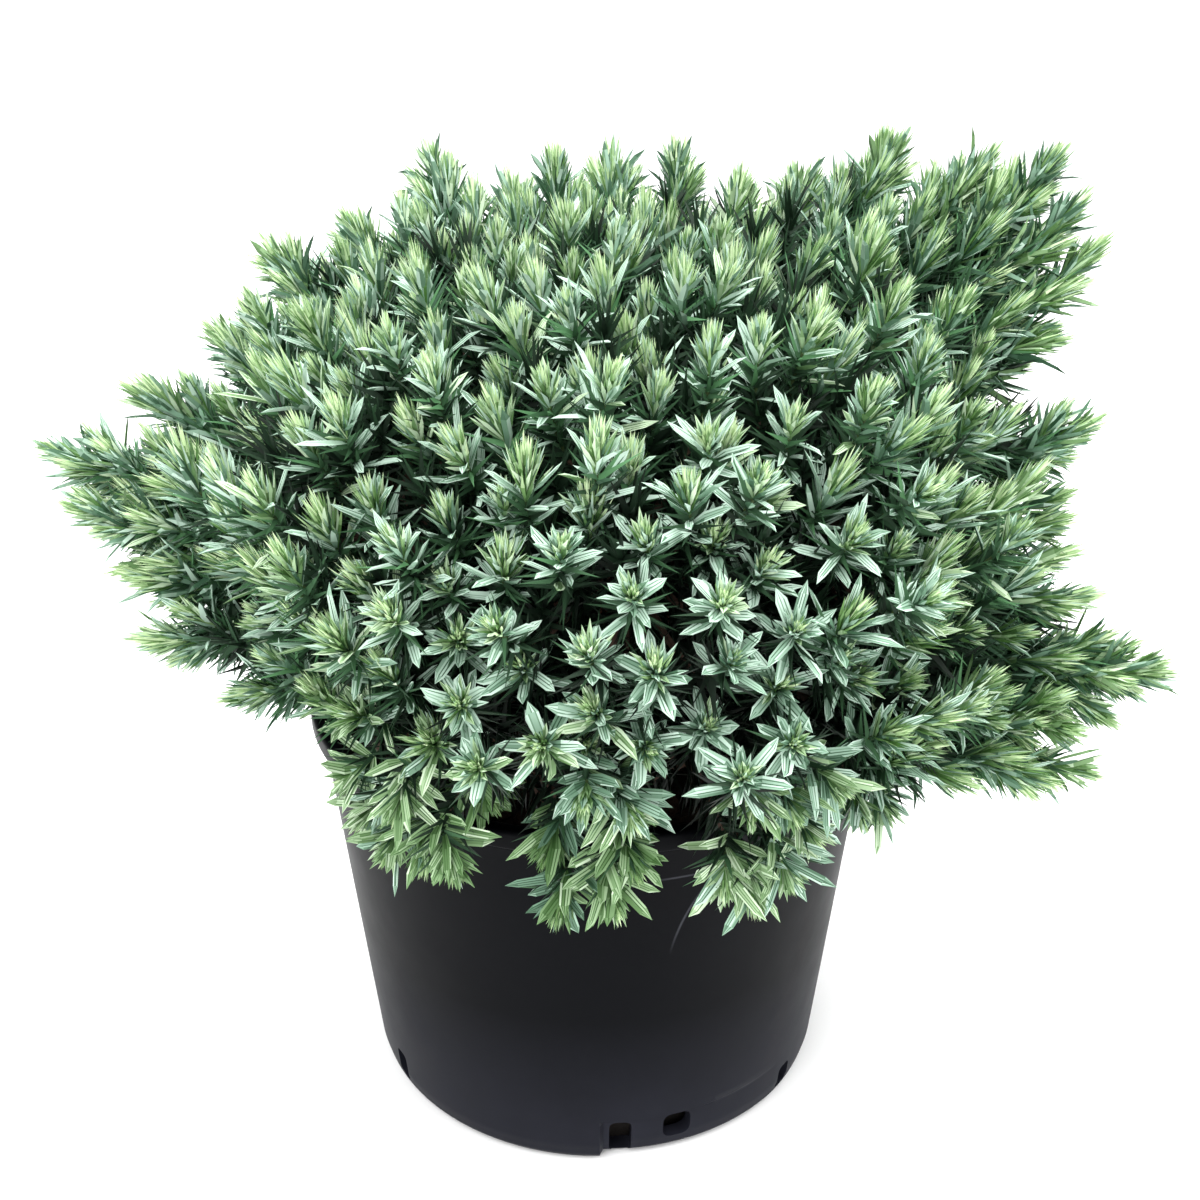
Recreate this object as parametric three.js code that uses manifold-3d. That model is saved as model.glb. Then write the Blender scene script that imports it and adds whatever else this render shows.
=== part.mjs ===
/*
 * Blue star juniper in a round nursery pot.
 *
 * Lengths are millimetres and +Z is up. The origin is the middle of the pot's flat
 * underside, and the side of the plant that faces the viewer is -Y.
 *
 * A short stem stands in the potting mix. Boughs leave it at two heights and each one
 * carries one mass of foliage. A mass fills its own share of the crown: the directions,
 * seen from the middle of the crown, that lie nearer to it than to any other mass.
 */
import * as THREE from 'three';
import { mergeVertices } from 'three/addons/utils/BufferGeometryUtils.js';
import Module from 'manifold-3d';

const wasm = await Module();
wasm.setup();

// ---------------------------------------------------------------- pot and potting mix
const CLEARANCE = 0.3;
const POT = {
  height: 162,
  footRadius: 91,
  wallTopRadius: 107,
  lipRadius: 111.5,
  lipHeight: 8,
  lipRound: 1.6,
  wall: 2.4,
  floor: 3,
  footRound: 6,
  footBandHeight: 11,
  footBandInset: 0.6,
  segments: 36,
};
const DRAIN = {
  angles: [-82, -65, -15, 98, 115, 195],
  width: 8,
  height: 10,
  depth: 16,
  sill: 1.2,
};
const MIX_LEVEL = 147;

// ---------------------------------------------------------------- trunk and boughs
const TRUNK = {
  footRadius: 11,
  tipRadius: 6,
  flare: 5.5,
  flareLength: 0.1,
  sunk: 6,
  top: [3, -2, 222],
  bend: [4, 1, 186],
  sides: 12,
  rings: 7,
};
const BOUGH = {
  skirtHeights: [166, 181],
  shoulderHeights: [194, 207],
  rootRadius: 4,
  tipRadius: 2.4,
  reach: 70,
  levelRun: 20,
  levelRise: 4,
  straightRun: 22,
  droop: 2,
  sides: 5,
  rings: 3,
};

// ---------------------------------------------------------------- crown
// HEART is the space round the trunk that holds only limbs.
const CROWN_MIDDLE = new THREE.Vector3(0, 0, 195);
const BLEND = 14;
const VALLEY = { depth: 0.07, width: 0.05 };
const LEADER_WIDTH = THREE.MathUtils.degToRad(9);
const CELL_GAP = 0.8;
const HEART = 76;
const RIM_GAP = 1.6;

// Each mass: its name, where its middle lies (degrees round from +X, degrees up) and how
// far its shoots reach from the middle of the crown.
const MASSES = [
  { name: 'skirt_left', azimuth: 182, elevation: -4, reach: 150 },
  { name: 'skirt_left_front', azimuth: 222, elevation: -3, reach: 136 },
  { name: 'skirt_front_left', azimuth: 254, elevation: -6, reach: 164 },
  { name: 'skirt_front_right', azimuth: 287, elevation: -6, reach: 166 },
  { name: 'skirt_right_front', azimuth: 321, elevation: -5, reach: 162 },
  { name: 'skirt_right', azimuth: 355, elevation: -5, reach: 174 },
  { name: 'skirt_back_right', azimuth: 32, elevation: 0, reach: 186 },
  { name: 'skirt_back', azimuth: 84, elevation: 0, reach: 175 },
  { name: 'skirt_back_left', azimuth: 138, elevation: 0, reach: 170 },
  { name: 'shoulder_left', azimuth: 180, elevation: 22, reach: 176 },
  { name: 'shoulder_front_left', azimuth: 230, elevation: 33, reach: 182 },
  { name: 'shoulder_front', azimuth: 276, elevation: 34, reach: 178 },
  { name: 'shoulder_front_right', azimuth: 320, elevation: 32, reach: 180 },
  { name: 'shoulder_right', azimuth: 12, elevation: 34, reach: 188 },
  { name: 'shoulder_back_right', azimuth: 58, elevation: 40, reach: 184 },
  { name: 'shoulder_back_left', azimuth: 122, elevation: 42, reach: 177 },
  { name: 'top', azimuth: 230, elevation: 84, reach: 150 },
];

// The shoots that stand out beyond their mass, as long arms and tall tips.
const LEADERS = [
  { azimuth: 181, elevation: 17, reach: 208 },
  { azimuth: 184, elevation: 24, reach: 200 },
  { azimuth: 183, elevation: 6, reach: 181 },
  { azimuth: 187, elevation: -2, reach: 172 },
  { azimuth: 197, elevation: -7, reach: 146 },
  { azimuth: 178, elevation: 29, reach: 189 },
  { azimuth: 150, elevation: 42, reach: 190 },
  { azimuth: 137, elevation: 41, reach: 190 },
  { azimuth: 123, elevation: 49, reach: 197 },
  { azimuth: 98, elevation: 48, reach: 196 },
  { azimuth: 82, elevation: 48, reach: 199 },
  { azimuth: 66, elevation: 46, reach: 202 },
  { azimuth: 42, elevation: 43, reach: 228 },
  { azimuth: 22, elevation: 39, reach: 245 },
  { azimuth: 13, elevation: 34, reach: 231 },
  { azimuth: 358, elevation: 22, reach: 194 },
  { azimuth: 353, elevation: 8, reach: 178 },
  { azimuth: 355, elevation: -5, reach: 219 },
  { azimuth: 346, elevation: -16, reach: 202 },
  { azimuth: 334, elevation: -15, reach: 168 },
  { azimuth: 320, elevation: -19, reach: 154 },
];

// Foliage ends below at a line that dips over the front of the rim and to the right.
const HEM = {
  level: -11,
  frontAzimuth: THREE.MathUtils.degToRad(278),
  frontDip: 12,
  rightDip: 3.5,
  tuckFrom: -8,
  tuck: 0.01,
};

// ---------------------------------------------------------------- foliage
// The twiggy inside of a mass, which its shoots stand out of.
const CORE = {
  depth: 26,
  margin: 0.4,
  hemLift: 6,
  detail: 10,
  peakHeight: 17,
  peakSpacing: 0.13,
  shootSpacing: 0.1,
};
const STEM = { rootRadius: 2.3, tipRadius: 1.5, fill: 0.62, sides: 5 };
const TWIG = { rootRadius: 2.2, overlap: 6, sides: 3 };

// Shoots stand evenly over a mass, lifted to the light above and hanging below. A shoot is
// a tuft of young needles in a ring of older blades.
const SHOOT = {
  spacing: 47,
  spread: 0.78,
  firstOff: 0.4,
  wander: 0.05,
  shorter: 0.06,
  crowded: 0.09,
  lifts: [1, 0.5, 0],
  lift: 0.5,
  hang: 0.045,
  sway: 0.12,
};
const TUFT = { length: 38, foot: 5, neckHeight: 22, neckRadius: 4.8 };
const BLADES = {
  count: 5,
  tipRadius: 22,
  tipHeight: 27,
  rootRadius: 5,
  rootHeight: 17,
  uneven: 0.24,
  sizes: [1, 0.8, 0.6, 0.4, 0.2, 0],
};

// Side shoots on the arms of the leaders.
const ARM = { from: 18, sideShoots: 2, step: 12, turn: 0.11 };

const GOLDEN_ANGLE = Math.PI * (3 - Math.sqrt(5));
const SAME_PLACE = 1e-4;
const FIRST_SEED = 101;
const UP = new THREE.Vector3(0, 0, 1);

// ---------------------------------------------------------------- helpers
function seededRandom(seed) {
  let state = seed >>> 0;
  return () => {
    state = (state + 0x6d2b79f5) >>> 0;
    let t = state;
    t = Math.imul(t ^ (t >>> 15), t | 1);
    t ^= t + Math.imul(t ^ (t >>> 7), t | 61);
    return ((t ^ (t >>> 14)) >>> 0) / 4294967296;
  };
}

function direction(azimuth, elevation) {
  const a = THREE.MathUtils.degToRad(azimuth);
  const e = THREE.MathUtils.degToRad(elevation);
  return new THREE.Vector3(Math.cos(a) * Math.cos(e), Math.sin(a) * Math.cos(e), Math.sin(e));
}

function fromMiddle(towards, distance) {
  return CROWN_MIDDLE.clone().addScaledVector(towards, distance);
}

// A closed surface as a solid that can be joined and cut.
function toSolid(geometry) {
  const bare = geometry.clone();
  bare.deleteAttribute('normal');
  bare.deleteAttribute('uv');
  const merged = mergeVertices(bare, 1e-4);
  const index = merged.index.array;
  const triVerts = [];
  for (let i = 0; i < index.length; i += 3) {
    const [a, b, c] = [index[i], index[i + 1], index[i + 2]];
    if (a !== b && b !== c && c !== a) {
      triVerts.push(a, b, c);
    }
  }
  return new wasm.Manifold(new wasm.Mesh({
    numProp: 3,
    vertProperties: new Float32Array(merged.attributes.position.array),
    triVerts: new Uint32Array(triVerts),
  }));
}

// Join solids into one body and drop whatever isn't joined to its largest piece.
function fuse(solids) {
  let body = solids[0];
  for (const solid of solids.slice(1)) {
    body = body.add(solid);
  }
  const pieces = body.decompose().sort((a, b) => b.volume() - a.volume());
  return pieces[0];
}

function toMesh(solid, name, colour, roughness) {
  const surface = solid.getMesh();
  const geometry = new THREE.BufferGeometry();
  const position = new Float32Array(surface.vertProperties);
  geometry.setAttribute('position', new THREE.BufferAttribute(position, 3));
  geometry.setIndex(new THREE.BufferAttribute(new Uint32Array(surface.triVerts), 1));
  geometry.computeVertexNormals();
  const material = new THREE.MeshStandardMaterial({ color: colour, roughness, metalness: 0 });
  material.name = name;
  const mesh = new THREE.Mesh(geometry, material);
  mesh.name = name;
  return mesh;
}

// A tapering limb: a cylinder whose rings are carried onto a curve.
function limb(points, radiusAt, sides, rings) {
  const curve = new THREE.CatmullRomCurve3(points, false, 'centripetal');
  const frames = curve.computeFrenetFrames(rings, false);
  const geometry = new THREE.CylinderGeometry(1, 1, 1, sides, rings);
  const position = geometry.attributes.position;
  for (let i = 0; i < position.count; i += 1) {
    const along = position.getY(i) + 0.5;
    const ring = Math.round(along * rings);
    const radius = radiusAt(along);
    const point = curve.getPointAt(along)
      .addScaledVector(frames.normals[ring], position.getX(i) * radius)
      .addScaledVector(frames.binormals[ring], -position.getZ(i) * radius);
    position.setXYZ(i, point.x, point.y, point.z);
  }
  return toSolid(geometry);
}

function alongZ(axis, origin, roll = 0) {
  const turn = new THREE.Quaternion().setFromUnitVectors(UP, axis);
  const spin = new THREE.Quaternion().setFromAxisAngle(UP, roll);
  return new THREE.Matrix4().compose(origin, turn.multiply(spin), new THREE.Vector3(1, 1, 1));
}

// A shoot from the origin up +Z: a pointed tuft that stands in a ring of pointed blades.
// Each blade's size is given, from 0 for none to 1.
function shootShape(sizes) {
  const columns = 2 * sizes.length;
  const geometry = new THREE.SphereGeometry(1, columns, 3);
  geometry.rotateX(Math.PI / 2);
  const position = geometry.attributes.position;
  for (let i = 0; i < position.count; i += 1) {
    const [x, y, z] = [position.getX(i), position.getY(i), position.getZ(i)];
    const column = Math.round((Math.atan2(y, x) * sizes.length) / Math.PI) + columns;
    const round = (column * Math.PI) / sizes.length;
    let place = new THREE.Vector3(0, 0, z > 0 ? TUFT.length : TUFT.foot);
    if (Math.abs(z) < 0.9 && z > 0) {
      place = ringPoint(round, TUFT.neckRadius, TUFT.neckHeight);
    } else if (Math.abs(z) < 0.9) {
      place = bladeTip(round, column % 2 === 0 ? sizes[(column / 2) % sizes.length] : 0);
    }
    position.setXYZ(i, place.x, place.y, place.z);
  }
  return geometry;
}

function ringPoint(round, radius, height) {
  return new THREE.Vector3(radius * Math.cos(round), radius * Math.sin(round), height);
}

function bladeTip(round, size) {
  return ringPoint(
    round,
    THREE.MathUtils.lerp(BLADES.rootRadius, BLADES.tipRadius, size),
    THREE.MathUtils.lerp(BLADES.rootHeight, BLADES.tipHeight, size),
  );
}

// ---------------------------------------------------------------- pot
function outerWallRadius(z) {
  return THREE.MathUtils.lerp(POT.footRadius, POT.wallTopRadius, z / POT.height);
}

function arc(centreRadius, centreZ, radius, from, to, steps) {
  const points = [];
  for (let i = 0; i <= steps; i += 1) {
    const angle = THREE.MathUtils.degToRad(from + ((to - from) * i) / steps);
    points.push(new THREE.Vector2(
      centreRadius + radius * Math.cos(angle),
      centreZ + radius * Math.sin(angle),
    ));
  }
  return points;
}

// Lathe profiles run round the closed section and turn about +Z.
function turned(profile) {
  const geometry = new THREE.LatheGeometry(profile, POT.segments);
  geometry.rotateX(Math.PI / 2);
  return toSolid(geometry);
}

function pot() {
  const lipFoot = POT.height - POT.lipHeight;
  const band = POT.footBandHeight;
  const innerAt = (z) => outerWallRadius(z) - POT.wall;
  const profile = [
    new THREE.Vector2(0, 0),
    ...arc(
      outerWallRadius(0) - POT.footBandInset - POT.footRound,
      POT.footRound,
      POT.footRound,
      -90,
      0,
      3,
    ),
    new THREE.Vector2(outerWallRadius(band) - POT.footBandInset, band),
    new THREE.Vector2(outerWallRadius(band + 1), band + 1),
    new THREE.Vector2(outerWallRadius(lipFoot), lipFoot),
    new THREE.Vector2(POT.lipRadius, lipFoot + 1),
    ...arc(POT.lipRadius - POT.lipRound, POT.height - POT.lipRound, POT.lipRound, 0, 90, 2),
    new THREE.Vector2(innerAt(POT.height), POT.height),
    new THREE.Vector2(innerAt(POT.footRound + POT.floor), POT.footRound + POT.floor),
    new THREE.Vector2(innerAt(0) - POT.footRound, POT.floor),
    new THREE.Vector2(0, POT.floor),
    new THREE.Vector2(0, 0),
  ];
  let body = turned(profile);
  for (const angle of DRAIN.angles) {
    const slot = new THREE.BoxGeometry(DRAIN.depth, DRAIN.width, DRAIN.height);
    slot.translate(outerWallRadius(0), 0, DRAIN.sill + POT.floor + DRAIN.height / 2);
    slot.rotateZ(THREE.MathUtils.degToRad(angle));
    body = body.subtract(toSolid(slot));
  }
  return body;
}

function pottingMix() {
  const innerAt = (z) => outerWallRadius(z) - POT.wall - CLEARANCE;
  const bottom = POT.floor + CLEARANCE;
  const shoulder = POT.footRound + POT.floor + CLEARANCE;
  return turned([
    new THREE.Vector2(0, bottom),
    new THREE.Vector2(innerAt(0) - POT.footRound - CLEARANCE, bottom),
    new THREE.Vector2(innerAt(shoulder), shoulder),
    new THREE.Vector2(innerAt(MIX_LEVEL), MIX_LEVEL),
    new THREE.Vector2(0, MIX_LEVEL),
    new THREE.Vector2(0, bottom),
  ]);
}

// ---------------------------------------------------------------- trunk and boughs
const TRUNK_POINTS = [
  new THREE.Vector3(0, 0, MIX_LEVEL - TRUNK.sunk),
  new THREE.Vector3(1, 0, MIX_LEVEL + 2 * TRUNK.sunk),
  new THREE.Vector3(...TRUNK.bend),
  new THREE.Vector3(...TRUNK.top),
];

function trunkAt(z) {
  const curve = new THREE.CatmullRomCurve3(TRUNK_POINTS, false, 'centripetal');
  const along = (z - TRUNK_POINTS[0].z) / (TRUNK.top[2] - TRUNK_POINTS[0].z);
  return curve.getPointAt(along);
}

function trunk(growth = 0) {
  const radiusAt = (along) => growth
    + THREE.MathUtils.lerp(TRUNK.footRadius, TRUNK.tipRadius, along)
    + TRUNK.flare * Math.exp(-along / TRUNK.flareLength);
  const whole = limb(TRUNK_POINTS, radiusAt, TRUNK.sides, TRUNK.rings);
  return whole.trimByPlane([0, 0, 1], MIX_LEVEL + CLEARANCE);
}

function boughTip(mass) {
  return fromMiddle(mass.towards, BOUGH.reach);
}

function bough(mass, height, sleeve) {
  const root = trunkAt(height);
  const outwards = new THREE.Vector3(mass.towards.x, mass.towards.y, 0).normalize();
  const tip = boughTip(mass);
  const points = [
    root,
    root.clone().addScaledVector(outwards, BOUGH.levelRun).addScaledVector(UP, BOUGH.levelRise),
    tip.clone().addScaledVector(mass.towards, -BOUGH.straightRun).addScaledVector(UP, BOUGH.droop),
    tip,
  ];
  const radiusAt = (along) => THREE.MathUtils.lerp(BOUGH.rootRadius, BOUGH.tipRadius, along);
  return fuse([limb(points, radiusAt, BOUGH.sides, BOUGH.rings).subtract(sleeve)]);
}

// ---------------------------------------------------------------- crown envelope
for (const place of [...MASSES, ...LEADERS]) {
  place.towards = direction(place.azimuth, place.elevation);
}

function blendedReach(towards) {
  let sum = 0;
  let weights = 0;
  for (const mass of MASSES) {
    const weight = Math.exp(BLEND * (towards.dot(mass.towards) - 1));
    sum += weight * mass.reach;
    weights += weight;
  }
  return sum / weights;
}

for (const leader of LEADERS) {
  leader.extra = Math.max(0, leader.reach - blendedReach(leader.towards));
}

// How far the crown reaches in a direction: high over each mass, lower where two meet,
// and drawn out along the leaders.
function reachAt(towards) {
  const nearness = MASSES.map((mass) => towards.dot(mass.towards)).sort((a, b) => b - a);
  const edge = (nearness[0] - nearness[1]) / VALLEY.width;
  const valley = 1 - VALLEY.depth * Math.exp(-edge * edge);
  let extra = 0;
  for (const leader of LEADERS) {
    const off = towards.angleTo(leader.towards) / LEADER_WIDTH;
    extra = Math.max(extra, leader.extra * Math.exp(-off * off));
  }
  const elevation = THREE.MathUtils.radToDeg(Math.asin(towards.z));
  const tuck = 1 - HEM.tuck * Math.max(0, HEM.tuckFrom - elevation);
  return (blendedReach(towards) * valley + extra) * tuck;
}

function hemAt(azimuth) {
  const front = Math.max(0, Math.cos(azimuth - HEM.frontAzimuth));
  return HEM.level - HEM.frontDip * front * front - HEM.rightDip * Math.cos(azimuth);
}

// How much room is left around a point before it leaves the space of its mass.
function room(mass, point) {
  const arm = point.clone().sub(CROWN_MIDDLE);
  const distance = arm.length();
  let least = distance - HEART;
  for (const other of MASSES) {
    if (other !== mass) {
      const across = mass.towards.clone().sub(other.towards).normalize();
      least = Math.min(least, arm.dot(across) - CELL_GAP / 2);
    }
  }
  const aboveRim = point.z - POT.height - RIM_GAP;
  const outsideRim = Math.hypot(point.x, point.y) - POT.lipRadius - RIM_GAP;
  least = Math.min(least, Math.max(aboveRim, outsideRim));
  return least;
}

// Whether a shape's corners and the middles of its edges all lie in the mass's space.
function fits(mass, geometry) {
  const position = geometry.attributes.position;
  const index = geometry.index.array;
  for (let i = 0; i < index.length; i += 1) {
    const next = i % 3 === 2 ? i - 2 : i + 1;
    const corner = new THREE.Vector3().fromBufferAttribute(position, index[i]);
    const other = new THREE.Vector3().fromBufferAttribute(position, index[next]);
    if (room(mass, corner) <= 0 || room(mass, other.lerp(corner, 0.5)) <= 0) {
      return false;
    }
  }
  return true;
}

// The pot and the air just round it, from the ground to above the rim.
function potSpace(gap) {
  const top = POT.height + gap;
  const radius = (POT.lipRadius + gap) / Math.cos(Math.PI / POT.segments);
  const block = new THREE.CylinderGeometry(radius, radius, top, POT.segments);
  block.rotateX(Math.PI / 2);
  block.translate(0, 0, top / 2);
  return toSolid(block);
}

// ---------------------------------------------------------------- foliage masses
// The dense inside of the whole crown, before it is shared out among the masses. Its
// surface is drawn up between the shoots into small peaks, the tips of shorter shoots.
function crownCore(shoots) {
  const geometry = new THREE.IcosahedronGeometry(1, CORE.detail);
  const position = geometry.attributes.position;
  const still = new THREE.Vector3();
  const peaks = [];
  const shootFeet = shoots.map(({ axis, end }) => (
    end.clone().addScaledVector(axis, -TUFT.neckHeight).sub(CROWN_MIDDLE).normalize()
  ));
  for (let i = 0; i < position.count; i += 1) {
    const towards = new THREE.Vector3().fromBufferAttribute(position, i).normalize();
    const nearest = Math.min(...peaks.map((peak) => peak.angleTo(towards)));
    const place = fromMiddle(towards, reachAt(towards) - CORE.depth);
    const free = shootFeet.every((foot) => foot.angleTo(towards) > CORE.shootSpacing);
    if (free && nearest > CORE.peakSpacing) {
      peaks.push(towards);
    }
    if (nearest < SAME_PLACE || peaks[peaks.length - 1] === towards) {
      place.addScaledVector(growthAxis(towards, still, 1), CORE.peakHeight);
    }
    position.setXYZ(i, place.x, place.y, place.z);
  }
  const heart = new THREE.IcosahedronGeometry(HEART, 1);
  heart.translate(CROWN_MIDDLE.x, CROWN_MIDDLE.y, CROWN_MIDDLE.z);
  return toSolid(geometry).subtract(toSolid(heart)).subtract(potSpace(RIM_GAP + CORE.margin));
}

function core(mass, dense) {
  let share = dense;
  for (const other of MASSES) {
    if (other !== mass) {
      const across = mass.towards.clone().sub(other.towards).normalize();
      const offset = across.dot(CROWN_MIDDLE) + CELL_GAP / 2 + CORE.margin;
      share = share.trimByPlane(across.toArray(), offset);
    }
  }
  const hem = THREE.MathUtils.degToRad(hemAt(THREE.MathUtils.degToRad(mass.azimuth)));
  const floor = CROWN_MIDDLE.z + Math.sin(hem) * mass.reach + CORE.hemLift;
  return fuse([share.trimByPlane(UP.toArray(), floor)]);
}

// The tips of a mass's shoots: a spiral of even spacing over its share of the crown.
function shootTips(mass, random) {
  const tips = [];
  const capArea = 2 * Math.PI * (1 - Math.cos(SHOOT.spread));
  const count = Math.round(capArea / (SHOOT.spacing / mass.reach) ** 2);
  const frame = alongZ(mass.towards, new THREE.Vector3());
  const startAngle = random() * 2 * Math.PI;
  for (let k = 0; k < count; k += 1) {
    const even = SHOOT.spread * Math.sqrt((k + SHOOT.firstOff) / count);
    const off = even + (random() - 0.5) * SHOOT.wander;
    const round = startAngle + k * GOLDEN_ANGLE;
    const towards = new THREE.Vector3(
      Math.sin(off) * Math.cos(round),
      Math.sin(off) * Math.sin(round),
      Math.cos(off),
    ).applyMatrix4(frame).normalize();
    const reach = reachAt(towards) * (1 - SHOOT.shorter * random());
    tips.push({ towards, reach });
  }
  const arms = LEADERS.flatMap((leader) => armTips(leader));
  const clear = tips.filter((tip) => arms.every((armTip) => (
    tip.towards.angleTo(armTip.towards) > SHOOT.crowded
  )));
  return [...clear, ...arms].filter((tip) => {
    const azimuth = Math.atan2(tip.towards.y, tip.towards.x);
    const elevation = THREE.MathUtils.radToDeg(Math.asin(tip.towards.z));
    const own = MASSES.every((other) => other === mass
      || tip.towards.dot(mass.towards) > tip.towards.dot(other.towards));
    return own && elevation > hemAt(azimuth);
  });
}

// A leader's own tip and, where it stands well out, the side shoots below it.
function armTips(leader) {
  const tips = [{ towards: leader.towards, reach: leader.reach }];
  const frame = alongZ(leader.towards, new THREE.Vector3());
  const sideShoots = leader.extra > ARM.from ? ARM.sideShoots : 0;
  for (let k = 1; k <= sideShoots; k += 1) {
    const round = k * GOLDEN_ANGLE;
    const off = ARM.turn * Math.sqrt(k);
    const towards = new THREE.Vector3(
      Math.sin(off) * Math.cos(round),
      Math.sin(off) * Math.sin(round),
      Math.cos(off),
    ).applyMatrix4(frame).normalize();
    const below = leader.reach - ARM.step * Math.sqrt(k);
    tips.push({ towards, reach: Math.min(below, reachAt(towards)) });
  }
  return tips;
}

// The way a shoot grows: outwards and lifted to the light, or hanging below the rim.
function growthAxis(towards, sway, share) {
  const elevation = THREE.MathUtils.radToDeg(Math.asin(towards.z));
  const lift = elevation > 0 ? SHOOT.lift : SHOOT.lift + elevation * SHOOT.hang;
  return towards.clone()
    .addScaledVector(UP, lift * share)
    .addScaledVector(sway, 2 * SHOOT.sway * share)
    .normalize();
}

function twigTo(stemTip, base) {
  const arm = base.clone().sub(stemTip);
  const length = arm.length() + TWIG.overlap;
  const twig = new THREE.ConeGeometry(TWIG.rootRadius, length, TWIG.sides);
  twig.rotateX(Math.PI / 2);
  twig.translate(0, 0, length / 2);
  return twig.applyMatrix4(alongZ(arm.normalize(), stemTip));
}

// How one shoot stands. It grows straighter where it would leave the mass's space, and
// blades that would still leave it are shorter or left off.
function poseShoot(mass, tip, stemTip, random) {
  const sway = new THREE.Vector3(random() - 0.5, random() - 0.5, random() - 0.5);
  const end = fromMiddle(tip.towards, tip.reach);
  const roll = random() * Math.PI;
  const full = Array.from({ length: BLADES.count }, () => 1 - BLADES.uneven * random());
  for (const share of SHOOT.lifts) {
    const axis = growthAxis(tip.towards, sway, share);
    const origin = end.clone().addScaledVector(axis, -TUFT.length);
    const frame = alongZ(axis, origin, roll);
    const sizes = full.map((whole, k) => {
      const round = (k * 2 * Math.PI) / BLADES.count;
      const fitting = BLADES.sizes.find((step) => (
        room(mass, bladeTip(round, whole * step).applyMatrix4(frame)) > 0
      ));
      return whole * (fitting ?? 0);
    });
    const shape = shootShape(sizes).applyMatrix4(frame);
    const twig = twigTo(stemTip, origin.addScaledVector(axis, TUFT.foot));
    if (fits(mass, shape) && fits(mass, twig)) {
      return { axis, end, shape, twig };
    }
  }
  return null;
}

function stemTipOf(mass) {
  return fromMiddle(mass.towards, STEM.fill * mass.reach);
}

function shootsOf(mass, seed) {
  const random = seededRandom(seed);
  return shootTips(mass, random)
    .map((tip) => poseShoot(mass, tip, stemTipOf(mass), random))
    .filter((pose) => pose !== null);
}

function foliage(mass, dense, stemRoot) {
  const stemTip = stemTipOf(mass);
  const stem = limb(
    [stemRoot, stemRoot.clone().lerp(stemTip, 0.5), stemTip],
    (along) => THREE.MathUtils.lerp(STEM.rootRadius, STEM.tipRadius, along),
    STEM.sides,
    2,
  );
  const solids = [core(mass, dense), stem];
  for (const { shape, twig } of mass.shoots) {
    solids.push(toSolid(shape), toSolid(twig));
  }
  return fuse([fuse(solids).subtract(potSpace(CLEARANCE))]);
}

// ---------------------------------------------------------------- the whole plant
const COLOURS = {
  pot: 0x202124,
  mix: 0x3a2a1d,
  bark: 0x6a4a35,
  foliage: [0x5f8066, 0x6d8f70, 0x557461],
};

const group = new THREE.Group();
group.name = 'blue_star_juniper';
group.add(toMesh(pot(), 'pot', COLOURS.pot, 0.45));
group.add(toMesh(pottingMix(), 'potting_mix', COLOURS.mix, 0.95));
group.add(toMesh(trunk(), 'trunk', COLOURS.bark, 0.9));

const sleeve = trunk(CLEARANCE);
MASSES.forEach((mass, order) => {
  mass.shoots = shootsOf(mass, FIRST_SEED + order);
});
const dense = crownCore(MASSES.flatMap((mass) => mass.shoots));
MASSES.forEach((mass, order) => {
  let stemRoot;
  if (mass.name === 'top') {
    stemRoot = new THREE.Vector3(...TRUNK.top).addScaledVector(UP, CLEARANCE);
  } else {
    const heights = mass.name.startsWith('skirt') ? BOUGH.skirtHeights : BOUGH.shoulderHeights;
    const limbSolid = bough(mass, heights[order % heights.length], sleeve);
    group.add(toMesh(limbSolid, `bough_${mass.name}`, COLOURS.bark, 0.9));
    stemRoot = boughTip(mass).addScaledVector(mass.towards, CLEARANCE);
  }
  const colour = COLOURS.foliage[order % COLOURS.foliage.length];
  const body = foliage(mass, dense, stemRoot);
  group.add(toMesh(body, `mass_${mass.name}`, colour, 0.75));
});

export default group;
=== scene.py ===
"""Blue star juniper in a round nursery pot, dressed for rendering.

The file is laid out as an add-on: each operator makes one piece or one group of like
pieces, and main() runs them all in order. Lengths are metres, +Z is up, and the origin
is the middle of the pot's flat underside.
"""

import math
from functools import lru_cache, partial

import bpy
import numpy as np
from bpy.props import (
    FloatProperty,
    FloatVectorProperty,
    IntProperty,
    PointerProperty,
)
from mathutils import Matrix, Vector, noise


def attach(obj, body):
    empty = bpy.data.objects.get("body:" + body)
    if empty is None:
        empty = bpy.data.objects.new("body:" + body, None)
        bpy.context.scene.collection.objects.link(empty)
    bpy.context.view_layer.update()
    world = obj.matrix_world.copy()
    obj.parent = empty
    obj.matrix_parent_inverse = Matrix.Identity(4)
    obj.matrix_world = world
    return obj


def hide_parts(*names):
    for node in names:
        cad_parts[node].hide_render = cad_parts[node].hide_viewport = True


bl_info = {
    "name": "Potted blue star juniper",
    "version": (1, 0, 0),
    "blender": (4, 5, 0),
    "location": "3D view > Sidebar > Juniper",
    "description": "Makes a dwarf juniper with its needles, twigs, bark and pot",
    "category": "Object",
}

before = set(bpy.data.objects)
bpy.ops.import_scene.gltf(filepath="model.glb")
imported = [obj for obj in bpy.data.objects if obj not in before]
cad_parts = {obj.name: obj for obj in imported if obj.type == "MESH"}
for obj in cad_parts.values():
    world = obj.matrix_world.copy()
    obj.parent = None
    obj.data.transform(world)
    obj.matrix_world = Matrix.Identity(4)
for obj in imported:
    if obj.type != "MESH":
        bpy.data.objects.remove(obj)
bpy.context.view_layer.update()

MM = 0.001
SENSOR = 36
GOLDEN_ANGLE = math.pi * (3 - math.sqrt(5))
UP = np.array((0.0, 0.0, 1.0))

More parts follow.
